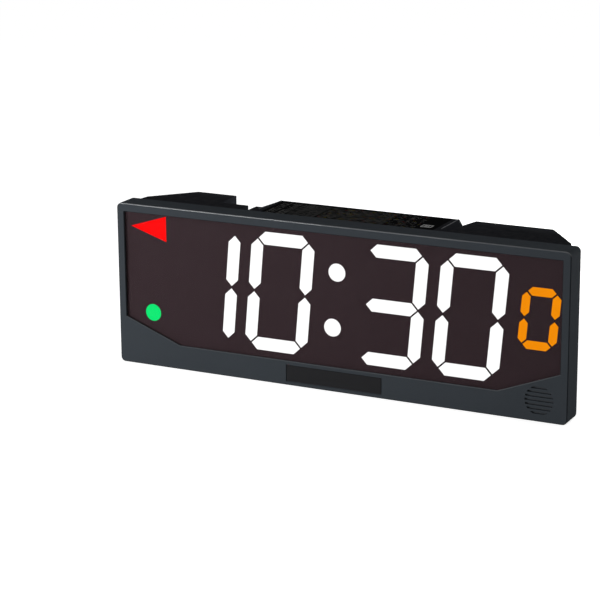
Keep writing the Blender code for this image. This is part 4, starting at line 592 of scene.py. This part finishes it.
FINISHED_NODES = {
    "case_plastic": ["front_bezel"],
    "rear_plastic": ["rear_cover", "left_box", "right_box", "centre_pod"],
    "door_plastic": ["left_door", "right_door"],
    "smoked_lens": ["display_window"],
    "plate_film": ["nameplate"],
    "mask_film": ["segment_mask"],
    "well_plastic": ["reflector_frame"],
    "board_lacquer": ["led_board_left", "led_board_right", "control_board"],
    "receiver_resin": ["ir_receiver"],
    "gasket_foam": ["speaker_gasket"],
    "can_steel": ["speaker_frame"],
    "cone_paper": ["speaker_cone"],
    "red_wire": ["speaker_wire", "battery_wire_left", "battery_wire_right"],
    "ribbon_cable": ["ribbon_cable_left", "ribbon_cable_right"],
    "label_film": ["top_panel"],
    "white_glow": ["colon_lens_upper", "colon_lens_lower"],
    "red_glow": ["arrow_lens"],
    "green_glow": ["ready_lens"],
    "inner_plastic": ["left_cradle", "right_cradle"],
    "foot_rubber": ["rear_foot_left", "rear_foot_right"],
    "rocker_plastic": ["power_inlet", "power_rocker", "rocker_frame"],
    "knob_plastic": ["volume_knob"],
    "pot_steel": ["volume_pot"],
    "start_plastic": ["key_start_stop"],
    "reset_plastic": ["key_reset"],
    "key_plastic": ["key_mode", "key_up", "key_down", "key_buzzer"],
    "cell_wrap": [f"{side}_cell_{number}" for side in SIDES for number in range(1, 5)],
    "screw_steel": [f"case_screw_{number}" for number in range(1, 5)],
}
NODE_FINISH = {node: look for look, nodes in FINISHED_NODES.items() for node in nodes}
for node, look in NODE_FINISH.items():
    for slot in NODES[node].material_slots:
        slot.material = LOOKS[look]


def in_scene(name, data):
    """Put a mesh, a lamp or a camera in the scene."""
    made = bpy.data.objects.new(name, data)
    bpy.context.scene.collection.objects.link(made)
    return made


def shown(name, shape):
    """Put a bmesh in the scene."""
    mesh = bpy.data.meshes.new(name)
    shape.to_mesh(mesh)
    shape.free()
    return in_scene(name, mesh)


def piece(name, shape, looks, body="case", node=None, outward=True):
    """A new piece of the timer, which rides on a body and may stand for a node."""
    if outward:
        bmesh.ops.recalc_face_normals(shape, faces=shape.faces)
    made = shown(name, shape)
    for look in looks:
        made.data.materials.append(LOOKS[look])
    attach(made, body)
    if node:
        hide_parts(node)
    return made


def skin(shape, rings, material=0, side=None, looped=False):
    """Add a closed solid through rings of points; side is what its first walls and end wear."""
    rows = [[shape.verts.new(point) for point in ring] for ring in rings]
    ends = [] if looped else [shape.faces.new(rows[0]), shape.faces.new(rows[-1][::-1])]
    count = len(rows[0])
    walls = []
    for low, high in zip(rows, rows[1:] + rows[:1] if looped else rows[1:]):
        for i in range(count):
            j = (i + 1) % count
            walls.append(shape.faces.new((low[i], low[j], high[j], high[i])))
    for face in ends + walls:
        face.material_index = material
    if side is not None:
        for face in walls[:count] + ends[:1]:
            face.material_index = side


def loft(shape, layers, material=0, side=None, looped=False):
    """Add a closed solid through outlines in x and height, each at its depth."""
    rings = [[at(x, depth, y) for x, y in outline] for outline, depth in layers]
    skin(shape, rings, material, side, looped)


def prism(shape, outline, base, top, material=0, crown=0.0, inset=0.0, side=None):
    """Add a closed solid: an outline between two depths, its top edge eased towards its middle."""
    layers = [(outline, base), (outline, top + math.copysign(crown, base - top))]
    if crown:
        points = [Vector(point) for point in outline]
        middle = sum(points, Vector((0.0, 0.0))) / len(points)
        layers.append(([point + (middle - point).normalized() * inset for point in points], top))
    loft(shape, layers, material, side)


def around(middle, half):
    """A span by its middle."""
    return middle - half, middle + half


def block(x_span, y_span):
    """Outline of a rectangle."""
    (x0, x1), (y0, y1) = x_span, y_span
    return [(x0, y0), (x1, y0), (x1, y1), (x0, y1)]


def tile(x_span, y_span, corner=0.0008, grow=0.0, steps=3):
    """Outline of a rectangle with rounded corners, grown all round."""
    (x0, x1), (y0, y1) = x_span, y_span
    radius = corner + grow
    middles = [(x1 - corner, y1 - corner, 0), (x0 + corner, y1 - corner, 90),
               (x0 + corner, y0 + corner, 180), (x1 - corner, y0 + corner, 270)]
    outline = []
    for x, y, start in middles:
        for i in range(steps + 1):
            t = math.radians(start + 90 * i / steps)
            outline.append((x + radius * math.cos(t), y + radius * math.sin(t)))
    return outline


def disc(x, y, radius, count=20):
    """Outline of a circle."""
    turns = [2 * math.pi * i / count for i in range(count)]
    return [(x + radius * math.cos(t), y + radius * math.sin(t)) for t in turns]


def arc(x, y, inner, outer, start, end, count=14):
    """Outline of a part of a ring between two angles in degrees."""
    turns = [math.radians(start + (end - start) * i / count) for i in range(count + 1)]
    far = [(x + outer * math.cos(t), y + outer * math.sin(t)) for t in turns]
    return far + [(x + inner * math.cos(t), y + inner * math.sin(t)) for t in reversed(turns)]


def drawn(flat, x, y, size, way=1):
    """Outline of a sign from its drawing, whose half size is 1; way -1 turns it upside down."""
    return [(x + u * size, y + way * v * size) for u, v in flat]


def rim(shape, outer, inner, base, top):
    """Add a closed band between two outlines of as many points."""
    loft(shape, [(outer, base), (outer, top), (inner, top), (inner, base)], looped=True)


def raised(shape, x_span, y_span, base, top, ease=0.0003, corner=0.0008):
    """Add a low block that stands on a face, its outer edge eased."""
    flat = tile(x_span, y_span, corner)
    loft(shape, [(flat, base), (flat, top + math.copysign(ease, base - top)),
                 (tile(x_span, y_span, corner, -ease), top)])


def sunk(shape, x_span, y_span, floor, mouth=DEPTH, ease=0.0005, corner=0.0008):
    """Add what a recess takes out of a face that looks back, its mouth eased."""
    flat = tile(x_span, y_span, corner)
    loft(shape, [(tile(x_span, y_span, corner, ease + CUT_PAST), mouth + CUT_PAST),
                 (flat, mouth - ease), (flat, floor)])


def screw_wells(shape, places):
    """Add what screw wells take out of a face that looks back."""
    for x, y in places:
        flat = disc(x, y, WELL_RADIUS)
        loft(shape, [(disc(x, y, WELL_RADIUS + WELL_EASE + CUT_PAST), DEPTH + CUT_PAST),
                     (flat, DEPTH - WELL_EASE), (flat, WELL_FLOOR)])


def welded(node):
    """A node's solid as a bmesh, with its doubled points merged."""
    solid = bmesh.new()
    solid.from_mesh(NODES[node].data)
    bmesh.ops.remove_doubles(solid, verts=solid.verts, dist=1e-6)
    return solid


def shaded(mesh, limit=math.radians(32.0)):
    """Smooth shading over its curves, with every sharper edge kept."""
    shape = bmesh.new()
    shape.from_mesh(mesh)
    for face in shape.faces:
        face.smooth = True
    for edge in shape.edges:
        edge.smooth = len(edge.link_faces) == 2 and edge.calc_face_angle() < limit
    shape.to_mesh(mesh)
    shape.free()


def cut_away(made, cutter):
    """Cut the solids of a bmesh out of a piece."""
    bmesh.ops.recalc_face_normals(cutter, faces=cutter.faces)
    tool = shown("cutter", cutter)
    cut = made.modifiers.new("cut", "BOOLEAN")
    cut.operation, cut.solver, cut.object = "DIFFERENCE", "EXACT", tool
    bpy.context.view_layer.update()
    graph = bpy.context.evaluated_depsgraph_get()
    made.data = bpy.data.meshes.new_from_object(made.evaluated_get(graph))
    made.modifiers.clear()
    mesh = tool.data
    bpy.data.objects.remove(tool)
    bpy.data.meshes.remove(mesh)
    shaded(made.data)


def carved(name, node, cutter, body="case"):
    """A solid of the timer with recesses cut into it, which takes the plain one's place."""
    made = piece(name, welded(node), [NODE_FINISH[node]], body, node, outward=False)
    cut_away(made, cutter)


def screw_heads(name, places, seat=WELL_FLOOR - 0.0001, radius=WELL_RADIUS - 0.0006):
    """Domed screw heads that look back, with crosses cut into them."""
    heads, crosses = bmesh.new(), bmesh.new()
    long, thin = 0.6 * radius, 0.13 * radius
    flat, arm = [], [(long, -thin), (long, thin), (thin, thin)]
    for _ in range(4):
        flat += arm
        arm = [(-v, u) for u, v in arm]
    for i, (x, y) in enumerate(places):
        loft(heads, [(disc(x, y, share * radius), seat + rise * HEAD_RISE)
                     for share, rise in ((1.0, 0.0), (1.0, 0.45), (0.88, 0.8), (0.55, 1.0))])
        turn = math.radians(23 + 37 * i)
        cross = [(x + u * math.cos(turn) - v * math.sin(turn),
                  y + u * math.sin(turn) + v * math.cos(turn)) for u, v in flat]
        prism(crosses, cross, seat + 2 * HEAD_RISE, seat + 0.4 * HEAD_RISE)
    cut_away(piece(name, heads, ["screw_steel"]), crosses)


def bar(centre_x, centre_y, length, stroke, upright, middle, lit):
    """Outline of one six-sided bar, leaning with its digit; a dark one fills its opening."""
    if lit:
        tip, half = length / 2 - BAR_GAP / math.sqrt(2), stroke / 2
    else:
        tip = length / 2 - OPENING_GAP / math.sqrt(2) + OPENING_FIT * math.sqrt(2)
        half = stroke / 2 + OPENING_FIT
    flat = tip - half
    points = [(-tip, 0), (-flat, -half), (flat, -half), (tip, 0), (flat, half), (-flat, half)]
    if upright:
        points = [(-y, x) for x, y in points]
    return [(centre_x + x + SLANT * (centre_y + y - middle), centre_y + y) for x, y in points]


def digit_bars(letters, centre_x, middle, width, height, stroke):
    """The seven bars of a digit by letter: a on top, then clockwise, g across the middle."""
    a, b = (width - stroke) / 2, (height - stroke) / 2
    places = {
        "a": (0, b, False), "b": (a, b / 2, True), "c": (a, -b / 2, True), "d": (0, -b, False),
        "e": (-a, -b / 2, True), "f": (-a, b / 2, True), "g": (0, 0, False),
    }
    return {letter: bar(centre_x + x, middle + y, b if upright else 2 * a, stroke, upright,
                        middle, letter in letters)
            for letter, (x, y, upright) in places.items()}


def digit_sheet(x, middle, width, height, stroke):
    """Outline of the sheet behind a digit's bars."""
    side, top, corner = width / 2 + SHEET_MARGIN, height / 2 + SHEET_MARGIN, stroke / 2
    outline = [
        (-side + corner, -top), (side - corner, -top), (side, -top + corner),
        (side, top - corner), (side - corner, top), (-side + corner, top),
        (-side, top - corner), (-side, -top + corner),
    ]
    return [(x + u + SLANT * v, middle + v) for u, v in outline]


def light_digit(digit, colour, letters, size):
    """One digit's diffuser: its sheet, its lit bars and its dark ones."""
    shape = bmesh.new()
    prism(shape, digit_sheet(*size), SHEET_FAR, SHEET_NEAR, 1)
    root = SHEET_NEAR + BAR_ROOT
    for letter, outline in digit_bars(letters, *size).items():
        if letter in letters:
            prism(shape, outline, root, MASK_NEAR, 0, BAR_CROWN, BAR_INSET, 1)
        else:
            prism(shape, outline, root, MASK_NEAR + DARK_BAR_SUNK, 1)
    piece(f"{digit}_bars", shape, [f"{colour}_glow", "unlit_bar"],
          node=f"{digit}_diffuser")


def span(node, axis):
    """A node's lowest and highest value along x (0) or depth (1) or height (2)."""
    low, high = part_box(node)
    shift = (0.0, DEPTH / 2, -HALF_HEIGHT)[axis]
    return low[axis] + shift, high[axis] + shift


def middle_of(node, axis):
    """A node's middle along one of these axes."""
    return sum(span(node, axis)) / 2


def make_nameplate():
    """The bare nameplate: a thin plate with eased edges, set in its recess."""
    shape = bmesh.new()
    flat, eased = (tile(span("nameplate", 0), span("nameplate", 2), grow=-inset)
                   for inset in (PLATE_INSET, PLATE_INSET + PLATE_EASE))
    loft(shape, [(flat, PLATE_BACK), (flat, PLATE_FRONT + PLATE_EASE), (eased, PLATE_FRONT)])
    piece("nameplate_bare", shape, ["plate_film"], node="nameplate")


def make_grille_felt():
    """Felt strips in the slots of the speaker grille, which keep dust out."""
    x, y = middle_of("speaker_gasket", 0), middle_of("speaker_gasket", 2)
    radius = span("speaker_gasket", 0)[1] - x - SPEAKER_RIM
    half = SLOT_OPEN / 2 - FELT_FIT
    shape = bmesh.new()
    for i in range(SLOT_COUNT):
        rise = (i - (SLOT_COUNT - 1) / 2) * 2 * radius / SLOT_COUNT
        levels = (rise - half, rise, rise + half)
        ends = [math.sqrt(max(radius ** 2 - (abs(level) + FELT_FIT) ** 2, half ** 2)) - 2 * FELT_FIT
                for level in levels]
        outline = [(x + end, y + level) for end, level in zip(ends, levels)]
        outline += [(x - end, y + level) for end, level in zip(ends[::-1], levels[::-1])]
        prism(shape, outline, FELT_NEAR + FELT_THICK, FELT_NEAR)
    piece("grille_felt", shape, ["grille_felt"])


def lying(shape, flat, low, high, material=0):
    """Add a thin sheet that lies on the top: an outline in x and depth between two heights."""
    skin(shape, [[at(x, depth, height) for x, depth in flat] for height in (low, high)], material)


def make_top_patch():
    """A small foil patch on the label, with dark stripes."""
    shape = bmesh.new()
    lying(shape, tile(*PATCH_BOX), PATCH_TOP - ROOT, PATCH_TOP)
    for x_span in STRIPE_X:
        lying(shape, tile(x_span, STRIPE_DEPTH), *around(PATCH_TOP, STRIPE_RISE), 1)
    piece("top_patch", shape, ["patch_foil", "label_film"])


def make_top_lips():
    """The raised lips that run back along the top beside the label, in a light grey that paints the
    highlight along its edges.
    """
    shape = bmesh.new()
    for near, far in LIP_LINES:
        flat = [(near - LIP_HALF, LIP_NEAR), (near + LIP_HALF, LIP_NEAR),
                (far + LIP_HALF, LIP_FAR), (far - LIP_HALF, LIP_FAR)]
        lying(shape, flat, LIP_FOOT, LIP_FOOT + LIP_RISE)
    piece("top_lips", shape, ["lip_painted_highlight"])


def make_receiver_cover():
    """The film over the receiver's opening, of the mask's colour."""
    shape = bmesh.new()
    cover = disc(middle_of("ir_receiver", 0), middle_of("ir_receiver", 2), COVER_RADIUS)
    prism(shape, cover, MASK_NEAR, MASK_NEAR - COVER_THICK)
    piece("receiver_cover", shape, ["mask_film"])


# Signs beside the keys: each takes its middle, half its size, and where its ink starts and ends


def start_sign(shape, x, y, size, base, top):
    """A triangle and two bars."""
    prism(shape, drawn([(-1, -0.7), (0.1, 0), (-1, 0.7)], x, y, size), base, top)
    for low in (x + 0.3 * size, x + 0.75 * size):
        prism(shape, block((low, low + 0.27 * size), around(y, 0.7 * size)), base, top)


def reset_sign(shape, x, y, size, base, top):
    """An open ring that ends in an arrow."""
    prism(shape, arc(x, y, 0.62 * size, 0.9 * size, 100, 385), base, top)
    prism(shape, drawn([(-0.62, 0.78), (0.12, 0.32), (0.12, 1.22)], x, y, size), base, top)


def mode_sign(shape, x, y, size, base, top):
    """A clock face with two hands."""
    rim(shape, disc(x, y, 0.95 * size), disc(x, y, 0.72 * size), base, top)
    half = 0.1 * size
    for right, up in ((0.0, 0.55 * size), (0.38 * size, 0.0)):
        hand = block((x - half, x + right + half), (y - half, y + up + half))
        prism(shape, hand, base, top)


def arrow_sign(shape, x, y, size, base, top, way=1):
    """A broad arrow that points up (1) or down (-1)."""
    flat = [(-0.85, -0.1), (0.0, 0.85), (0.85, -0.1), (0.3, -0.1), (0.3, -0.8), (-0.3, -0.8),
            (-0.3, -0.1)]
    prism(shape, drawn(flat, x, y, size, way), base, top)


def down_sign(shape, *place):
    """A broad arrow that points down."""
    arrow_sign(shape, *place, way=-1)


def buzzer_sign(shape, x, y, size, base, top):
    """A loudspeaker with two waves."""
    flat = [(-0.95, -0.32), (-0.5, -0.32), (0.0, -0.75), (0.0, 0.75), (-0.5, 0.32), (-0.95, 0.32)]
    prism(shape, drawn(flat, x, y, size), base, top)
    for radius in (0.42 * size, 0.82 * size):
        prism(shape, arc(x, y, radius, radius + 0.17 * size, -42, 42), base, top)


def make_pocket_print():
    """Signs printed on the floor of the control pocket."""
    base, top = POCKET_FLOOR - ROOT, POCKET_FLOOR + PRINT_RISE
    shape = bmesh.new()

    def ring(x, y, outer, inner):
        rim(shape, disc(x, y, outer), disc(x, y, inner), base, top)

    def line(x_span, y_span, corner=0.0001):
        raised(shape, x_span, y_span, base, top, FINE_EASE, corner)

    signs = (start_sign, reset_sign, mode_sign, arrow_sign, down_sign, buzzer_sign)
    for i, sign in enumerate(signs):
        sign(shape, KEYS_LEFT + KEY_PITCH * i, SIGN_HEIGHT, SIGN_HALF, base, top)
    ring(ROCKER_MARK_X, KEY_HEIGHT - 0.0055, 0.0019, 0.0013)
    line(around(ROCKER_MARK_X, 0.00035), (KEY_HEIGHT + 0.0036, KEY_HEIGHT + 0.0074), 0.0002)
    for i in range(TICK_COUNT):
        angle, long = TICK_FIRST + TICK_STEP * i, 0.0013 + 0.00012 * (TICK_COUNT - 1 - i)
        tick = arc(KNOB_X, KEY_HEIGHT, TICK_RADIUS, TICK_RADIUS + long, *around(angle, 2.2), 2)
        prism(shape, tick, base, top)
    y = SIGN_HEIGHT
    ring(INLET_X, y, 0.0016, 0.0011)
    prism(shape, disc(INLET_X, y, 0.0006, 12), base, top)
    for way in (-1, 1):
        x = INLET_X + way * INLET_SIGN_GAP
        ring(x, y, 0.0018, 0.0014)
        line(around(x, 0.0009), around(y, 0.0002))
        if way > 0:
            line(around(x, 0.0002), around(y, 0.0009))
        line(sorted((INLET_X + way * 0.0018, x - way * 0.0020)), around(y, 0.0002))
    piece("pocket_symbols", shape, ["print_ink"])


def make_knob():
    """The volume knob turned back to the start of its scale, and the painted line in its groove."""
    knob, line = welded("volume_knob"), bmesh.new()
    groove = span("volume_knob", 1)[1] - KNOB_GROOVE
    raised(line, around(KNOB_X, 0.0004), (KEY_HEIGHT + 0.0042, KEY_HEIGHT + 0.0078),
           groove - 0.00005, groove + PRINT_RISE, 0.00003, 0.0002)
    for shape in (knob, line):
        bmesh.ops.rotate(shape, verts=shape.verts, cent=at(KNOB_X, 0.0, KEY_HEIGHT),
                         matrix=Matrix.Rotation(KNOB_START, 3, "Y"))
    name = "volume_knob"
    piece("volume_knob_shell", knob, ["knob_plastic"], name, name, outward=False)
    piece("knob_pointer", line, ["print_ink"], name)


def make_pod():
    """The middle pod with vent slots, screw wells, a bracket outline and an eased pocket."""
    cutter = bmesh.new()
    for x_span in POD_VENTS:
        for i in range(POD_VENT_SLOTS):
            slot_span = around(POD_VENT_LOW + POD_VENT_PITCH * i, POD_VENT_HALF)
            sunk(cutter, x_span, slot_span, POD_VENT_FLOOR, corner=0.0011)
    screw_wells(cutter, POD_SCREWS)
    mouth, throat = (tile(POCKET_X, around(KEY_HEIGHT, POCKET_HALF), POCKET_CORNER, grow, 4)
                     for grow in (0.0018, -0.0002))
    loft(cutter, [(mouth, DEPTH + CUT_PAST), (throat, DEPTH - 0.001)])
    outer, inner = (tile(*BRACKET_FACE, 0.004, grow) for grow in (0.0, -BRACKET_LINE))
    rim(cutter, outer, inner, DEPTH + CUT_PAST, DEPTH - 0.0005)
    carved("centre_pod_shell", "centre_pod", cutter)
    screw_heads("pod_screws", POD_SCREWS)


def make_box(side):
    """A rear box with screw wells above and below its door."""
    cutter = bmesh.new()
    screw_wells(cutter, BOX_SCREWS[side])
    carved(f"{side}_box_shell", f"{side}_box", cutter)
    screw_heads(f"{side}_box_screws", BOX_SCREWS[side])


def battery_mark(shape, x, y, base, top):
    """A printed outline of an upright cell with its nub, plus and minus."""
    half_width, half_height = 0.0055, 0.0125
    spans = around(x, half_width), around(y, half_height)
    rim(shape, tile(*spans, 0.001), tile(*spans, 0.001, -0.0006), base, top)
    nub = (y + half_height - 0.0002, y + half_height + 0.0016)
    raised(shape, around(x, 0.002), nub, base, top, 0.0001, 0.0004)
    for rise, wide, high in ((0.0070, 0.0018, 0.0004), (0.0070, 0.0004, 0.0018),
                             (-0.0070, 0.0018, 0.0004)):
        raised(shape, around(x, wide), around(y + rise, high), base, top, 0.0001, 0.0002)


def make_door(side):
    """A battery door: sunken field, grip ribs, opening arrow and cell marks; pads and a catch."""
    name = f"{side}_door"
    low, high = span(name, 0)
    way = -1 if side == "left" else 1
    free, hinge = (low, high) if way < 0 else (high, low)

    def inward(near, far):
        """The span between two distances from the free edge."""
        return sorted((free - way * near, free - way * far))

    field = sorted((free - way * DOOR_BORDER, hinge + way * (DOOR_BORDER + 0.0035)))
    cutter = bmesh.new()
    sunk(cutter, field, around(0.0, DOOR_FIELD_HALF), DOOR_FIELD_FLOOR, ease=0.0009, corner=0.003)
    carved(f"{name}_panel", name, cutter, name)

    base, ink = DOOR_FIELD_FLOOR - ROOT, DOOR_FIELD_FLOOR + 0.0003
    marks = bmesh.new()
    arrow = [(0.0, 0.0), (-0.0055, 0.0048), (-0.0055, 0.0018), (-0.0115, 0.0018),
             (-0.0115, -0.0018), (-0.0055, -0.0018), (-0.0055, -0.0048)]
    tip = free - way * 0.0190
    prism(marks, [(tip + way * u, v) for u, v in arrow], base, ink)
    for x in around(sum(field) / 2, CELL_MARK_STEP[side]):
        for y in (CELL_MARK_HEIGHT, -CELL_MARK_HEIGHT):
            battery_mark(marks, x, y, base, ink)
    piece(f"{name}_marks", marks, ["print_ink"], name)

    relief = bmesh.new()
    for i in range(-3, 4):
        raised(relief, inward(0.0055, 0.0165), around(GRIP_RIB_PITCH * i, 0.0011), base,
               DEPTH - 0.0002, 0.0005, 0.0009)
    piece(f"{name}_relief", relief, ["door_plastic"], name)

    foot = DOOR_INSIDE + ROOT
    ribs = bmesh.new()
    across = sorted((free - way * 0.006, hinge + way * 0.012))
    for y in (-0.055, -0.020, 0.020, 0.055):
        raised(ribs, across, around(y, 0.0006), foot, DOOR_INSIDE - 0.0018, 0.0002, 0.0004)
    raised(ribs, inward(0.0011, 0.0026), around(0.0, 0.0070), foot, DOOR_INSIDE - 0.0036, 0.0003,
           0.0004)
    piece(f"{name}_ribs", ribs, ["door_plastic"], name)

    pads = bmesh.new()
    for x in CELL_PADS[side]:
        for y in (-CELL_PAD_HEIGHT, CELL_PAD_HEIGHT):
            raised(pads, around(x, 0.006), around(y, 0.011), foot, DOOR_INSIDE - 0.0060, 0.0009,
                   0.0015)
    piece(f"{name}_pads", pads, ["gasket_foam"], name)


def make_contacts(side):
    """Sprung strips clipped over the cradle's ends, one for each end of each column of cells."""
    low, high = span(f"{side}_cradle", 2)
    reach = span(f"{side}_cradle", 1)[1]
    shape = bmesh.new()
    for number in (1, 3):
        x = middle_of(f"{side}_cell_{number}", 0)
        for outer, way in ((low, 1), (high, -1)):
            inner = outer + way * CRADLE_WALL
            near, far = ([(reach - 0.012, inner + way * gap), (reach + gap, inner + way * gap),
                          (reach + gap, outer - way * gap), (reach - 0.008, outer - way * gap)]
                         for gap in (CONTACT_CLEAR, CONTACT_CLEAR + CONTACT_THIN))
            skin(shape, [[at(end, depth, y) for depth, y in near + far[::-1]]
                         for end in around(x, CONTACT_HALF)])
    piece(f"{side}_contacts", shape, ["contact_spring"])


def make_tray_back():
    """The tray's back below the pod: slits, ribs, bosses with screws and a bare rating plate."""
    base = TRAY_FAR - 0.0002
    cutter, ribs, plate, lines = (bmesh.new() for _ in range(4))
    for first in TRAY_SLITS:
        for i in range(TRAY_SLIT_COUNT):
            sunk(cutter, around(first + TRAY_SLIT_PITCH * i, 0.0011), TRAY_SLIT_HEIGHT,
                 TRAY_FAR - 0.006, TRAY_FAR, 0.0004, 0.001)
        last = first + TRAY_SLIT_PITCH * (TRAY_SLIT_COUNT - 1)
        spans = (first - 0.0045, last + 0.0045), (-0.100, -0.054)
        rim(ribs, tile(*spans, 0.003), tile(*spans, 0.003, -0.0014), base, TRAY_FAR + 0.0014)
    carved("rear_cover_shell", "rear_cover", cutter)
    for y in TRAY_RIBS:
        raised(ribs, (-0.190, 0.136), around(y, 0.0008), base, TRAY_FAR + 0.0022, 0.0004, 0.0006)
    for x, y in TRAY_SCREWS:
        rim(ribs, disc(x, y, 0.0062), disc(x, y, 0.0040), base, TRAY_FAR + 0.0030)
        prism(ribs, disc(x, y, 0.0041), base, TRAY_FAR + 0.0006)
    piece("tray_ribs", ribs, ["rear_plastic"])
    screw_heads("tray_screws", TRAY_SCREWS, TRAY_FAR + 0.0005, 0.0031)
    raised(plate, *RATING_PLATE, base, TRAY_FAR + 0.0004, 0.0001, 0.002)
    piece("rating_plate", plate, ["rating_film"])
    foot, ink = TRAY_FAR + 0.0003, TRAY_FAR + 0.00048
    rim(lines, tile(*RATING_PLATE, 0.002, -0.0020), tile(*RATING_PLATE, 0.002, -0.0026), foot, ink)
    for y in RATING_LINES:
        raised(lines, (-0.0440, 0.0420), around(y, 0.0002), foot, ink, FINE_EASE, 0.0001)
    piece("rating_plate_lines", lines, ["plate_film"])


def seen_directly(net):
    """1 for rays from the camera, and for those that metal and glass send on."""
    path = net.add("LightPath").outputs
    both = net.math("MAXIMUM", path["Is Camera Ray"], path["Is Glossy Ray"])
    return net.math("MAXIMUM", both, path["Is Transmission Ray"])


def make_floor():
    """A plain pale floor that stays white and keeps the timer's soft shadow."""
    shape = bmesh.new()
    corners = [(-1, -1), (1, -1), (1, 1), (-1, 1)]
    shape.faces.new([shape.verts.new((x * FLOOR_REACH, y * FLOOR_REACH, 0.0)) for x, y in corners])
    floor = shown("floor", shape)
    made = Finish("floor_paper", Roughness=0.9, Specular_IOR_Level=0.0,
                  Emission_Color=(1.0, 1.0, 1.0))
    made.feed(Base_Color=made.toned((0.82, 0.82, 0.82), 0.01),
              Emission_Strength=made.times(seen_directly(made), FLOOR_GLOW))
    floor.data.materials.append(LOOKS["floor_paper"])


def make_world():
    """White background, with a dimmer even light on the timer."""
    bpy.context.scene.world = world = bpy.data.worlds.new("studio")
    world.use_nodes = True
    net = Net(world.node_tree)
    sky = world.node_tree.nodes["Background"].inputs
    net.put((1.0, 1.0, 1.0), sky["Color"])
    light = net.math("MULTIPLY_ADD", seen_directly(net), 1.0 - SKY_LIGHT, SKY_LIGHT)
    net.put(light, sky["Strength"])


def softbox(name, place, aim, size, power):
    """A rectangular lamp that looks at a point."""
    lamp = bpy.data.lights.new(name, "AREA")
    lamp.shape = "RECTANGLE"
    lamp.size, lamp.size_y = size
    lamp.energy = power
    made = in_scene(name, lamp)
    made.location = place
    made.rotation_mode = "QUATERNION"
    made.rotation_quaternion = (Vector(aim) - Vector(place)).to_track_quat("-Z", "Y")


def make_camera():
    """The photograph's viewpoint, from the front right and a little above."""
    data = bpy.data.cameras.new("camera")
    data.sensor_width, data.lens = 36.0, LENS_LENGTH
    data.clip_start, data.clip_end = 0.1, 60.0
    camera = in_scene("camera", data)
    camera.location = CAMERA_PLACE
    camera.rotation_mode = "QUATERNION"
    camera.rotation_quaternion = Quaternion(CAMERA_TURN)
    bpy.context.scene.camera = camera


for (digit, letters), x in zip(LIT_BARS.items(), DIGIT_X):
    light_digit(digit, "white", letters, (x, *BIG_DIGIT))
light_digit("round_digit", "orange", "abcdef", SMALL_DIGIT)
for make in (make_nameplate, make_grille_felt, make_top_patch, make_top_lips, make_receiver_cover,
             make_pod, make_pocket_print, make_knob, make_tray_back):
    make()
for side in SIDES:
    make_box(side)
    make_door(side)
    make_contacts(side)

make_floor()
make_world()
softbox("key_lamp", (-1.15, -1.45, 0.34), (-0.05, -0.06, 0.12), (0.8, 0.4), 17.0)
softbox("strip_lamp", (-1.03, -1.5, 0.621), (-0.1, -0.06, 0.22), (0.56, 0.08), 1.6)
softbox("dim_strip_lamp", (-0.58, -1.5, 0.621), (0.1, -0.06, 0.22), (0.34, 0.08), 0.2)
softbox("fill_lamp", (-0.45, -1.25, 0.15), (-0.1, -0.06, 0.12), (0.4, 0.3), 1.7)
softbox("side_lamp", (1.6, 0.5, 0.30), (0.34, 0.0, 0.12), (0.5, 0.35), 0.5)
softbox("back_lamp", (0.42, 1.58, 0.20), (-0.1, 0.05, 0.14), (0.4, 0.3), 30.0)
make_camera()
bpy.context.scene.view_settings.view_transform = "Standard"
